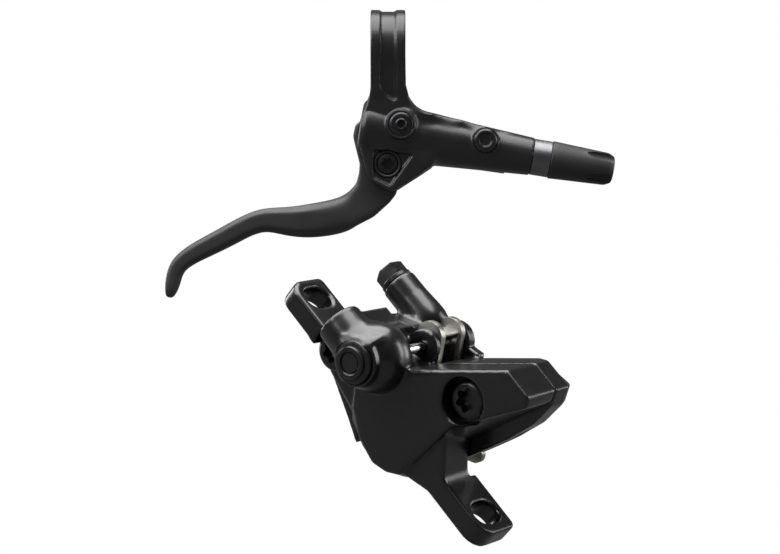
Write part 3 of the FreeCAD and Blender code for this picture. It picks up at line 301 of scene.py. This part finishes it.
def on_front(along, lift, front):
    """A place on the lever's front, along the cylinder and above it, facing the camera."""
    spot = CYLINDER @ Vector((-lift * MM, 0, along * MM))
    return FRONT @ Matrix.Translation((spot.x, spot.z, front * MM))


print("cylinder's tilt in degrees:", round(math.degrees(math.atan2(-way.z, way.x)), 1))

# %% [markdown]
# ## Tools for pieces
# Blender's own tools work on the selected and active object, so each helper first selects
# its piece alone. A modifier is added, set and applied in one go, which keeps the piece a
# plain mesh that the next tool can work on.

# %% Tools for pieces
def new_piece(name, mesh):
    """An object with a mesh of its own, in the scene."""
    piece = bpy.data.objects.new(name, mesh)
    bpy.context.scene.collection.objects.link(piece)
    return piece


def only(piece):
    """Select one object alone and make it active."""
    bpy.ops.object.select_all(action="DESELECT")
    piece.select_set(True)
    bpy.context.view_layer.objects.active = piece


def edit(piece):
    """Open a piece in edit mode with all of it selected."""
    only(piece)
    bpy.ops.object.mode_set(mode="EDIT")
    bpy.ops.mesh.select_all(action="SELECT")


def modify(piece, kind, **settings):
    """Add a modifier, set it and apply it."""
    modifier = piece.modifiers.new(kind.lower(), kind)
    for name, value in settings.items():
        setattr(modifier, name, value)
    only(piece)
    bpy.ops.object.modifier_apply(modifier=modifier.name)


def join(pieces):
    """Several meshes as one object."""
    only(pieces[0])
    for piece in pieces:
        piece.select_set(True)
    if len(pieces) > 1:
        bpy.ops.object.join()
    return pieces[0]


def cut(piece, cutters, operation="DIFFERENCE"):
    """Cut shapes out of a piece, or keep what they share with it, and drop the shapes."""
    for cutter in cutters:
        modify(piece, "BOOLEAN", operation=operation, solver="EXACT", object=cutter)
        bpy.data.objects.remove(cutter)


def dress(piece, body, node):
    """Give a piece its smooth shading, the finish and body of its node, and hide the node it stands for."""
    only(piece)
    bpy.ops.object.shade_smooth_by_angle(angle=math.radians(32))
    slot = slots[node]
    piece.data.materials.clear()
    piece.data.materials.append(finishes[slot])
    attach(piece, body)
    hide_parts(node)
    print(piece.name, len(piece.data.polygons), "faces")

# %% [markdown]
# ## Tools for castings and stampings
# A shot-blasted and painted casting has no sharp edge. Bevels would have to be put on edge
# by edge and fail where many walls meet, so a casting is a copy of the solid that is run
# through a voxel remesh and a little smoothing. Where walls should flow together, more
# smoothing is let in around a spot: fully in its middle third or so, because the weights
# start above one there, and then less and less out to its reach. Stamped and machined
# pieces only get a small bevel.

# %% Tools for castings and stampings
WELD = 0.002 * MM
MELT_CORE = 1.6
FLAT_WITHIN = math.radians(2)
SHARP_FROM = math.radians(35)


def copy_of(node, name):
    """A free copy of a solid with its loose triangles joined up."""
    piece = new_piece(name, nodes[node].data.copy())
    edit(piece)
    bpy.ops.mesh.remove_doubles(threshold=WELD)
    bpy.ops.object.mode_set(mode="OBJECT")
    return piece


def soften(node, name, voxel, rounds, place=Matrix(), extras=()):
    """A casting: a copy, with shapes added, whose edges a remesh along its axes rounds."""
    piece = join([copy_of(node, name), *extras])
    piece.data.transform(place.inverted())
    modify(piece, "REMESH", mode="VOXEL", voxel_size=voxel * MM, use_smooth_shade=True)
    modify(piece, "SMOOTH", factor=0.5, iterations=rounds)
    piece.data.transform(place)
    return piece


def melt(piece, place, spots, rounds):
    """Smoothing that fades out around spots, each a point and a reach in millimetres."""
    group = piece.vertex_groups.new(name="melt")
    centres = [(place @ (Vector(point) * MM), reach * MM) for point, reach in spots]
    for vertex in piece.data.vertices:
        weight = max(MELT_CORE - MELT_CORE * (vertex.co - centre).length / reach
                     for centre, reach in centres)
        if weight > 0:
            group.add([vertex.index], min(1, weight), "REPLACE")
    modify(piece, "SMOOTH", factor=0.5, iterations=rounds, vertex_group="melt")
    piece.vertex_groups.clear()


def ease(node, name, width, steps):
    """A machined or stamped piece: a copy with flats joined and its edges just broken."""
    piece = copy_of(node, name)
    edit(piece)
    bpy.ops.mesh.dissolve_limited(angle_limit=FLAT_WITHIN)
    bpy.ops.object.mode_set(mode="OBJECT")
    modify(piece, "BEVEL", width=width * MM, segments=steps, limit_method="ANGLE",
           angle_limit=SHARP_FROM)
    return piece

# %% [markdown]
# ## Tools for drawn shapes
# Turned pieces are drawn out of a disc, ring by ring, as a lathe's profile. Straight walls
# come from an outline drawn out between two levels. Two such prisms that cross give a shape
# that looks right from two sides, which is how a casting's pattern is laid out too.

# %% Prisms
def prism(name, corners, low, high, place):
    """A shape with straight walls: an outline in millimetres, drawn out between two levels."""
    mesh = bpy.data.meshes.new(name)
    mesh.from_pydata([(x * MM, y * MM, low * MM) for x, y in corners], [], [range(len(corners))])
    piece = new_piece(name, mesh)
    edit(piece)
    rise = (0, 0, (high - low) * MM)
    bpy.ops.mesh.extrude_region_move(TRANSFORM_OT_translate={"value": rise})
    bpy.ops.mesh.select_all(action="SELECT")
    bpy.ops.mesh.normals_make_consistent(inside=False)
    bpy.ops.object.mode_set(mode="OBJECT")
    mesh.transform(place)
    return piece


def crossed(name, first, second):
    """What lies in two prisms at once, each given as its outline, levels and place."""
    piece = prism(name, *first)
    cut(piece, [prism(name + "_across", *second)], "INTERSECT")
    return piece

# %% Turned shapes
GROOVE_SHARE = 0.35
LOBE_SHARE = 0.14


def lathe(name, profile, place, sides=96, closed=False):
    """A turned piece, drawn ring by ring along a profile of radius and height."""
    radius, height = profile[0]
    bpy.ops.object.select_all(action="DESELECT")
    bpy.ops.mesh.primitive_circle_add(vertices=sides, radius=radius * MM,
                                      fill_type="NOTHING" if closed else "NGON", location=(0, 0, 0))
    piece = bpy.context.object
    piece.name = name
    edit(piece)
    bpy.ops.transform.translate(value=(0, 0, height * MM))
    rings = profile[1:] + profile[:1] if closed else profile[1:]
    for next_radius, next_height in rings:
        rise = (0, 0, (next_height - height) * MM)
        bpy.ops.mesh.extrude_region_move(TRANSFORM_OT_translate={"value": rise})
        scale = next_radius / radius
        bpy.ops.transform.resize(value=(scale, scale, 1), center_override=(0, 0, 0))
        radius, height = next_radius, next_height
    bpy.ops.mesh.select_all(action="SELECT")
    bpy.ops.mesh.remove_doubles(threshold=WELD / 2)
    bpy.ops.mesh.normals_make_consistent(inside=False)
    bpy.ops.object.mode_set(mode="OBJECT")
    piece.data.transform(place)
    return piece


def thread(radius, first, last, pitch, depth):
    """Profile rings of a screw thread between two heights, as turned grooves."""
    count = max(1, round(abs(last - first) / pitch))
    step = (last - first) / count
    rings = []
    for number in range(count):
        start = first + number * step
        rings += [(radius - depth, start), (radius, start + GROOVE_SHARE * step),
                  (radius, start + (1 - GROOVE_SHARE) * step)]
    return rings + [(radius - depth, last)]


def star(name, radius, depth, place):
    """A cutter for a six-lobed socket."""
    cutter = lathe(name, [(radius, -depth), (radius, 1.0)], Matrix(), sides=72)
    for vertex in cutter.data.vertices:
        angle = math.atan2(vertex.co.y, vertex.co.x)
        reach = 1 - LOBE_SHARE + LOBE_SHARE * math.cos(6 * angle)
        vertex.co.x, vertex.co.y = vertex.co.x * reach, vertex.co.y * reach
    cutter.data.transform(place)
    return cutter


def ball(name, radii, place):
    """A stretched ball, as a cutter for a scoop."""
    bpy.ops.object.select_all(action="DESELECT")
    bpy.ops.mesh.primitive_uv_sphere_add(segments=48, ring_count=24, radius=1, location=(0, 0, 0))
    piece = bpy.context.object
    piece.name = name
    piece.data.transform(place @ Matrix.Diagonal((radii[0] * MM, radii[1] * MM, radii[2] * MM, 1)))
    return piece

# %% [markdown]
# ## The neck's front
# On the real casting the ring's front runs on into the neck, and the ring's groove opens
# into a shallow recess there. The neck is given by its outline from the front and its
# outline from the side, and the groove is cut into it in the same way.

# %% Neck
INSIDE_CASTING = 6
NECK_REACH = 17
PAST_NECK = 20
THROUGH = 30
NECK_FRONT = [(-6.9, -4), (-6.9, -16), (-7.3, -19), (-8.3, -22.5), (-10.2, -27), (19, -27),
              (14.5, -25.5), (10.5, -22.8), (8.2, -19.5), (7.1, -15), (6.9, -4)]
NECK_SIDE = [(15.3, -4), (13.7, -12), (13.0, -20), (13.0, -28), (6, -28), (6, -4)]
GROOVE_FRONT = [(-3.1, -3), (-3.1, -15.5), (-1.6, -18.6), (2, -21.0), (3.1, -21.4), (3.1, -3)]
GROOVE_SIDE = [(14.5, -2), (12.5, -12), (11.6, -20), (11.6, -24), (20, -24), (20, -2)]
neck = crossed("neck", (NECK_FRONT, INSIDE_CASTING, NECK_REACH, FRONT),
               (NECK_SIDE, -THROUGH, THROUGH, SIDE))
cut(neck, [crossed("groove", (GROOVE_FRONT, INSIDE_CASTING, PAST_NECK, FRONT),
                   (GROOVE_SIDE, -THROUGH, THROUGH, SIDE))])
print("neck:", len(neck.data.polygons), "faces")

# %% [markdown]
# ## The web along the cylinder
# A slim web runs from the neck along the cylinder's top and dies out towards the hose. It
# keeps above the cylinder's bore, so that the bore stays open.

# %% Web
WEB_FRONT = [(6, -22.4), (9, -24.4), (14, -25.9), (22, -27.4), (33, -29.7), (52, -34.4),
             (57, -36.6), (57, -39.5), (6, -28.4)]
WEB_TOP = [(4, 13.2), (12, 12.2), (24, 10.5), (34, 9.7), (44, 7.6), (57, 4.2), (57, -3), (4, -3)]
WEB_BACK, WEB_REACH = -3, 14
UNDER_BAR, UNDER_WEB = 20, 50
web = crossed("web", (WEB_FRONT, WEB_BACK, WEB_REACH, FRONT), (WEB_TOP, UNDER_BAR, UNDER_WEB, TOP))
print("web:", len(web.data.polygons), "faces")

# %% [markdown]
# ## The lever's casting
# The ring, neck, cylinder and clevis were cast in one. The bar's bore, the seats of the two
# plugs, the pivot's seat and the blade's slot are machined after casting, so here they are
# cut after the smoothing and stay crisp.

# %% Lever casting
BAR_RADIUS = 11.1
PLUG_SEAT_RADIUS = 4.8
WASHER_SEAT_RADIUS = 5.55
SLOT_BACK, SLOT_FRONT = -2.1, 8.1
BLADE_SLOT = [(-20, -24.5), (-1.2, -24.5), (-1.2, -39.9), (12.5, -42.6), (12.5, -62), (-20, -62)]
BLEED = on_front(along=4.7, lift=3.2, front=14.9)
PLUG = on_front(along=38.5, lift=2.6, front=12.0)
BAR = axes_at((-12 * MM, 0, 0), (0, 1, 0), (0, 0, 1), (1, 0, 0))
plug_seat = [(PLUG_SEAT_RADIUS, 0), (PLUG_SEAT_RADIUS, 4)]
lever_casting = soften("lever_body", "lever_casting", voxel=0.42, rounds=6, extras=[neck, web])
melt(lever_casting, FRONT,
     [((13, -26, 11), 9), ((24, -28.5, 9), 6), ((33, -30.5, 8), 5), ((19, -44.5, 11), 9)], rounds=150)
cut(lever_casting, [
    lathe("bar_cutter", [(BAR_RADIUS, 0), (BAR_RADIUS, 24)], BAR, sides=128),
    lathe("bleed_cutter", plug_seat, BLEED),
    lathe("plug_cutter", plug_seat, PLUG),
    lathe("pivot_cutter", [(WASHER_SEAT_RADIUS, -6), (WASHER_SEAT_RADIUS, 0.02)], PIVOT),
    prism("slot_cutter", BLADE_SLOT, SLOT_BACK, SLOT_FRONT, FRONT)])
dress(lever_casting, "housings", "lever_body")

# %% [markdown]
# ## The blade
# The blade is forged and blasted, so it has no flat that ends in a line. It is smoothed
# much longer than the casting, and most of all where its root swings into the finger rest.

# %% Blade
blade = soften("lever_blade", "finger_blade", voxel=0.34, rounds=30)
melt(blade, FRONT, [((-16, -64.5, 3), 17)], rounds=200)
dress(blade, "lever_blade", "lever_blade")

# %% [markdown]
# ## The two plugs on the front
# Both are turned screws. Their rims are rolled over and their middles dished, which shows
# as fine rings of light, so their profiles are drawn ring by ring.

# %% Plugs
bleed = lathe("bleed_plug", [
    (2.5, -3.9), (2.5, 0.5), (4.45, 0.5), (4.65, 0.75), (4.6, 1.0), (4.2, 1.3), (3.4, 1.45),
    (2.5, 1.3), (2.3, 1.35), (2.15, 2.0), (1.9, 2.2), (1.55, 2.1), (1.4, 0.6)], BLEED)
dress(bleed, "housings", "bleed_screw")
plug = lathe("front_plug", [
    (2.5, -3.9), (2.5, 0.5), (4.55, 0.5), (4.7, 0.8), (4.6, 1.2), (4.1, 1.75), (3.4, 1.95),
    (2.9, 1.85), (2.5, 1.3), (2.2, 1.1), (1.2, 1.02), (0.3, 1.0)], PLUG)
dress(plug, "housings", "port_plug")

# %% [markdown]
# ## The pivot
# A bolt with a star socket holds the blade in the clevis. It ends in a groove for a clip,
# and its head sits in a dished washer.

# %% Pivot bolt and washer
CLEVIS = 16.3
PIN_HEAD = 2.1
pin = lathe("pivot_bolt", [
    (3.2, -PIN_HEAD), (3.7, -1.95), (4.0, -1.55), (4.0, 0), (2.5, 0), (2.5, CLEVIS + 0.1),
    (2.0, CLEVIS + 0.12), (2.0, CLEVIS + 0.88), (2.5, CLEVIS + 0.9), (2.5, CLEVIS + 1.4),
    (2.2, CLEVIS + 1.6)], PIVOT)
head = moved(PIVOT, 0, 0, -PIN_HEAD) @ Matrix.Rotation(math.pi, 4, "X")
cut(pin, [star("pivot_star", 2.5, 1.7, head)])
dress(pin, "housings", "pivot_pin")
washer = lathe("pivot_ring", [
    (4.05, 0), (5.45, 0), (5.45, -1.35), (5.2, -1.65), (4.75, -1.7), (4.4, -1.5), (4.05, -1.2)],
    PIVOT, closed=True)
dress(washer, "housings", "pivot_washer")

# %% [markdown]
# ## The hose nut and its cover
# The nut's collar shows between the casting and a tapering rubber cover. It has a sheen of
# its own in the photograph, so it gets its own finish. Four long scoops, where fingers
# grip the cover to pull it back, are cut with stretched balls.

# %% Hose nut
HOUSING_END = 58.04
NUT_END = HOUSING_END + 7.4
NUT_START = HOUSING_END - 9
HOSE_STOP = HOUSING_END - 5
nut = lathe("hose_nut_collar", [
    (1.4, NUT_START), (4.0, NUT_START), (4.0, HOUSING_END), (6.95, HOUSING_END + 0.02),
    (7.2, HOUSING_END + 0.3), (7.2, NUT_END - 0.3), (6.95, NUT_END), (2.6, NUT_END),
    (2.6, HOSE_STOP), (1.4, HOSE_STOP)], CYLINDER, closed=True)
dress(nut, "housings", "hose_nut")
nut.data.materials[0] = satin_anodising()

# %% Cover of the hose nut
COVER_END = NUT_END + 25.4
SCOOP_RADII = (2.7, 2.6, 11.5)
SCOOP_PLACE = 7.0
cover = lathe("nut_cover", [
    (2.65, NUT_END), (7.15, NUT_END), (7.45, NUT_END + 0.35), (7.5, NUT_END + 0.9),
    (7.4, NUT_END + 2.5), (6.5, COVER_END - 3.4), (6.35, COVER_END - 2.5), (5.6, COVER_END - 0.9),
    (5.2, COVER_END - 0.35), (4.4, COVER_END), (3.0, COVER_END), (2.65, COVER_END - 0.3)],
    CYLINDER, closed=True)
scoops = []
for quarter in range(4):
    around = CYLINDER @ Matrix.Rotation(math.radians(45 + 90 * quarter), 4, "Z")
    scoops.append(ball("scoop", SCOOP_RADII, moved(around, SCOOP_PLACE, 0, COVER_END)))
cut(cover, scoops)
dress(cover, "housings", "hose_nut_cover")

# %% [markdown]
# ## The screws behind
# The reach screw in the blade pushes the master piston with its domed tip. The clamp's
# screw has a plain hexagon socket. The threads are rings, not a helix: at this size the
# eye can't tell, and a ring closes without a seam.

# %% Reach screw and clamp screw
LUG = axes_at(Vector((0, 21.65, 5.0)) * MM, (1, 0, 0), (0, 1, 0), (0, 0, 1))
reach_tip = [(1.8, -4.6), (1.3, -4.1), (0.6, -3.85), (0.15, -3.8)]
reach_thread = thread(1.99, -11.9, -5.0, pitch=0.7, depth=0.2)
reach = lathe("reach_adjuster", [(1.6, -12.4), (1.98, -12.1)] + reach_thread + reach_tip, CYLINDER)
dress(reach, "lever_blade", "reach_screw")
clamp_head = [(2.5, -2.6), (2.5, 0), (4.05, 0), (4.25, 0.25), (4.25, 3.5), (3.95, 3.95), (3.5, 4.0)]
clamp_thread = thread(2.49, -10.6, -3.0, pitch=0.8, depth=0.25)
clamp = lathe("clamp_bolt", [(2.1, -11)] + clamp_thread + clamp_head, LUG)
cut(clamp, [lathe("hex_cutter", [(2.31, 1.6), (2.31, 5)], LUG, sides=6)])
dress(clamp, "housings", "clamp_screw")

# %% [markdown]
# ## The reservoir's lid
# The lid, its screws and its gasket are right in the frame, apart from their edges, which
# a moulded lid has rounder than a machined screw.

# %% Reservoir
for node, name, width in (("reservoir_lid", "reservoir_cap", 0.45), ("lid_screws", "cap_screws", 0.15),
                          ("reservoir_diaphragm", "cap_gasket", 0.15)):
    dress(ease(node, name, width, steps=3), "housings", node)

# %% [markdown]
# ## The return spring
# The spring sits between the piston and the cylinder's end, and shortens as the piston
# comes. No body can carry it, because one end moves and the other stays. Here it is a copy
# of its solid with a mesh of its own, put with the housings, and nothing squashes it.

# %% Return spring
spring = copy_of("return_spring", "coil_spring")
dress(spring, "housings", "return_spring")
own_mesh(spring)

# %% [markdown]
# ## The outer half of the caliper
# A casting with flowing walls between crisp machined seats. The hose's boss widens like a
# trumpet where it meets the dome: a turned shape is added before the remesh, and the
# smoothing melts it in. The slots in the ears are long along the axle, so that the caliper
# can be set over the disc.

# %% Outer half
SLOT_RADIUS = 3.4
SLOT_REACH = 1.2
SLOT_STEPS = 24
EAR_PLACE = 37.1
BOLT_ROOM = 6.2
PLUG_ROOM = 5.65
FIRST_BOLT = moved(CALIPER, -21.0, -3.0, 3.0)
SECOND_BOLT = moved(CALIPER, 16.0, 20.2, 3.0)
DOME = moved(CALIPER, -9.1, 8.9, 17.6)
PORT = moved(CALIPER, -22.3, 8.9, 12.7) @ axes_at((0, 0, 0), (0, 1, 0), (0, 0, 1), (1, 0, 0))


def ear_slot(name, along):
    """A cutter for an ear's slotted hole, long along the axle."""
    half = [math.radians(-90 + 180 * step / SLOT_STEPS) for step in range(SLOT_STEPS + 1)]
    right = [(SLOT_REACH + SLOT_RADIUS * math.cos(angle), SLOT_RADIUS * math.sin(angle))
             for angle in half]
    corners = right + [(-across, -up) for across, up in right]
    place = moved(CALIPER, along, 0, SLOT_MIDDLE) @ axes_at((0, 0, 0), (0, 0, 1), (1, 0, 0), (0, -1, 0))
    return prism(name, corners, -1, EAR_THICKNESS + 1, place)


trumpet = lathe("trumpet", [(5.6, 1.5), (6.15, 2.5), (6.3, 6), (7.2, 9.5), (8.6, 12.5), (8.6, 14)], PORT)
outer = soften("outboard_half", "outer_housing", voxel=0.36, rounds=20, place=CALIPER, extras=[trumpet])
melt(outer, CALIPER, [((-15.5, 8.9, 6.5), 7), ((-3, 4, 8), 8), ((17, 6, -1), 9), ((5, 14, 9), 5)],
     rounds=40)
bolt_room = [(BOLT_ROOM, 0), (BOLT_ROOM, 20)]
port_thread = thread(4.15, 0.8, 8.8, pitch=1.0, depth=0.3)
cut(outer, [
    lathe("bolt_room", bolt_room, SECOND_BOLT),
    lathe("first_room", bolt_room, FIRST_BOLT),
    lathe("plug_room", [(PLUG_ROOM, 0), (PLUG_ROOM, 5)], DOME),
    ear_slot("near_slot", -EAR_PLACE),
    ear_slot("far_slot", EAR_PLACE),
    lathe("port_thread", [(4.9, -1), (4.0, 0.6)] + port_thread + [(3.8, 9)], PORT)])
dress(outer, "housings", "outboard_half")

# %% [markdown]
# ## The inner half of the caliper
# It is made in the same way. Here the nipple's boss swells towards the bridge, and the
# nipple's hole is bored afterwards.

# %% Inner half
NIPPLE_HOLE = 2.55
BOSS = moved(CALIPER, -27.6, 13.2, -14.0) @ axes_at((0, 0, 0), (0, 1, 0), (0, 0, -1), (-1, 0, 0))
flare = lathe("flare", [(4.7, -1), (4.8, -6), (5.2, -12), (5.2, -14.5), (4.4, -16.5), (2.5, -17.6),
                        (0.5, -18)], BOSS)
inner = soften("inboard_half", "inner_housing", voxel=0.36, rounds=10, place=CALIPER, extras=[flare])
melt(inner, CALIPER, [((-14, 12, -12), 8), ((7.5, 11, -16), 6), ((4.5, 14.5, -16), 4)], rounds=80)
cut(inner, [lathe("nipple_room", [(NIPPLE_HOLE, -9), (NIPPLE_HOLE, 1)], BOSS)])
dress(inner, "housings", "inboard_half")

# %% [markdown]
# ## The caliper's bolts
# Two star-socket bolts clamp the halves together. The socket is a circle whose radius
# swells six times around, which gives the lobes in one line of code.

# %% Caliper bolts
bolts = []
shank = [(2.6, -22)] + thread(2.98, -21.6, -12.0, pitch=1.0, depth=0.3) + [(3.0, -11.4), (3.0, 0)]
bolt_head = [(4.9, 0), (5.2, 0.25), (5.2, 2.55), (5.05, 2.8), (4.3, 3.4), (4.05, 3.5)]
for place in (FIRST_BOLT, SECOND_BOLT):
    bolt = lathe("bolt", shank + bolt_head, place)
    cut(bolt, [star("bolt_star", 3.3, 2.2, moved(place, 0, 0, 3.5))])
    bolts.append(bolt)
caliper_bolts = join(bolts)
caliper_bolts.name = "caliper_bolts"
dress(caliper_bolts, "housings", "body_bolts")

# %% [markdown]
# ## The plug on the dome
# A plug closes the drilled way of the oil. It steps up in rings to a raised button.

# %% Plug on the dome
seal_plug = lathe("way_plug", [
    (5.6, 0), (5.6, 1.3), (5.4, 1.65), (4.7, 1.9), (4.3, 1.95), (4.22, 2.6), (4.0, 2.85),
    (3.2, 2.95), (2.9, 2.8), (2.8, 2.35), (2.65, 2.35), (2.5, 2.6), (0.3, 2.7)], DOME)
dress(seal_plug, "housings", "passage_plug")

# %% [markdown]
# ## The bleed nipple
# A threaded stem, a hexagon for the spanner and a short tip, all turned from one bar. The
# hexagon is a lathe shape with only six sides.

# %% Bleed nipple
stem = [(2.2, -8)] + thread(2.49, -7.6, -0.6, pitch=0.8, depth=0.25)
collar = [(2.5, 0), (4.15, 0), (4.4, 0.25), (4.4, 1.15), (4.2, 1.4), (2.9, 1.45)]
nipple = join([
    lathe("vent_stem", stem + collar, BOSS),
    lathe("vent_hex", [(3.6, 1.3), (4.16, 1.6), (4.16, 4.5), (3.7, 5.0)], BOSS, sides=6),
    lathe("vent_tip", [(2.2, 4.8), (2.2, 5.1), (1.9, 5.3), (0.8, 5.3), (0.8, 4.9)], BOSS)])
nipple.name = "vent_nipple"
dress(nipple, "housings", "bleed_nipple")

# %% [markdown]
# ## Pads and their axle
# The plates are stamped, so their edges roll slightly. The linings are ground. Both hang
# on a polished axle with a groove for its clip and a rounded end.

# %% Pads and axle
PAD_TURN = math.radians(31)
PAD_ORIGIN = (4.2, -2.3)
AXLE_REACH = 19.5
for side in ("outboard", "inboard"):
    pad = side + "_pad"
    dress(ease(pad + "_plate", side + "_backing_plate", 0.28, steps=3), pad, pad + "_plate")
    dress(ease(pad + "_friction", side + "_lining", 0.3, steps=2), pad, pad + "_friction")
AXLE = moved(CALIPER, PAD_ORIGIN[0] - AXLE_REACH * math.sin(PAD_TURN),
             PAD_ORIGIN[1] + AXLE_REACH * math.cos(PAD_TURN), 0)
axle = lathe("pad_pin", [
    (1.0, -20.2), (1.3, -19.9), (1.3, -19.6), (1.0, -19.55), (1.0, -19.05), (1.3, -19.0),
    (1.3, 5.6), (1.18, 6.3), (0.85, 6.75), (0.4, 6.9)], AXLE)
dress(axle, "housings", "pad_axle")

# %% [markdown]
# ## Floor and backdrop
# The photograph has a pure white ground with no shadow. So the floor and the sky are white
# to the camera alone. To every other ray they are dim, because a white room would wash the
# glossy black out to grey.

# %% Floor and backdrop
FLOOR_LEVEL = -0.21
FLOOR_SIZE = 6
ROOM_GLOW = 0.09
WHITE = (1, 1, 1, 1)


def pale_stage():
    """White to the camera, dim paper to the light."""
    material, tree = new_material("pale_stage")
    seen = add_node(tree, "ShaderNodeLightPath")
    white = add_node(tree, "ShaderNodeEmission", {"Color": WHITE, "Strength": 1.0})
    paper = add_node(tree, "ShaderNodeBsdfDiffuse", {"Color": linear("#585858")})
    mix = add_node(tree, "ShaderNodeMixShader", {
        0: seen.outputs["Is Camera Ray"], 1: paper.outputs[0], 2: white.outputs[0]})
    add_node(tree, "ShaderNodeOutputMaterial", {"Surface": mix.outputs[0]})
    return material


def pale_sky():
    """White to the camera, a faint even glow to the light."""
    world = bpy.data.worlds.new("studio")
    world.use_nodes = True
    tree = world.node_tree
    tree.nodes.clear()
    seen = add_node(tree, "ShaderNodeLightPath")
    room = add_node(tree, "ShaderNodeBackground", {"Color": WHITE, "Strength": ROOM_GLOW})
    white = add_node(tree, "ShaderNodeBackground", {"Color": WHITE, "Strength": 1.0})
    mix = add_node(tree, "ShaderNodeMixShader", {
        0: seen.outputs["Is Camera Ray"], 1: room.outputs[0], 2: white.outputs[0]})
    add_node(tree, "ShaderNodeOutputWorld", {"Surface": mix.outputs[0]})
    return world


bpy.ops.object.select_all(action="DESELECT")
bpy.ops.mesh.primitive_plane_add(size=FLOOR_SIZE, location=(0, 0, FLOOR_LEVEL))
floor = bpy.context.object
floor.name = "floor"
floor.data.materials.append(pale_stage())
bpy.context.scene.world = pale_sky()
bpy.context.scene.view_settings.view_transform = "Standard"
print("floor at", FLOOR_LEVEL)

# %% [markdown]
# ## Lamps
# Black things are seen by what they reflect. A wide box overhead draws the soft bands along
# the tops, boxes at both sides draw the edges, and one narrow, bright strip draws the sharp
# streaks on the caliper. Two boxes behind light the back for views from there.

# %% Lamps
def add_lamp(name, place, aim, size, glow):
    """A soft box at a place, aimed at a point, with the same glow all over its face."""
    lamp = bpy.data.lights.new(name, "AREA")
    lamp.shape, lamp.size, lamp.size_y = "RECTANGLE", size[0], size[1]
    lamp.energy = glow * math.pi * size[0] * size[1]
    holder = bpy.data.objects.new(name, lamp)
    holder.location = place
    holder.rotation_euler = (Vector(aim) - Vector(place)).to_track_quat("-Z", "Y").to_euler()
    bpy.context.scene.collection.objects.link(holder)


MIDDLE = (0, -0.14, -0.09)
add_lamp("top_box", (-0.2, -0.3, 1.4), (-0.2, -0.3, -0.09), (1.9, 1.75), 6.2)
add_lamp("left_box", (-1.2, -0.3, 0.75), MIDDLE, (0.5, 0.9), 7.0)
add_lamp("right_box", (1.4, -0.2, 0.35), MIDDLE, (0.35, 0.9), 6.0)
add_lamp("key_strip", (-0.9, -0.9, 0.65), MIDDLE, (0.12, 0.6), 22.0)
add_lamp("rear_left_box", (-1.3, 0.9, 0.3), MIDDLE, (0.5, 0.9), 5.0)
add_lamp("rear_right_box", (1.5, 0.5, 0.1), MIDDLE, (0.5, 0.7), 4.0)
print("lamps:", len(bpy.data.lights))
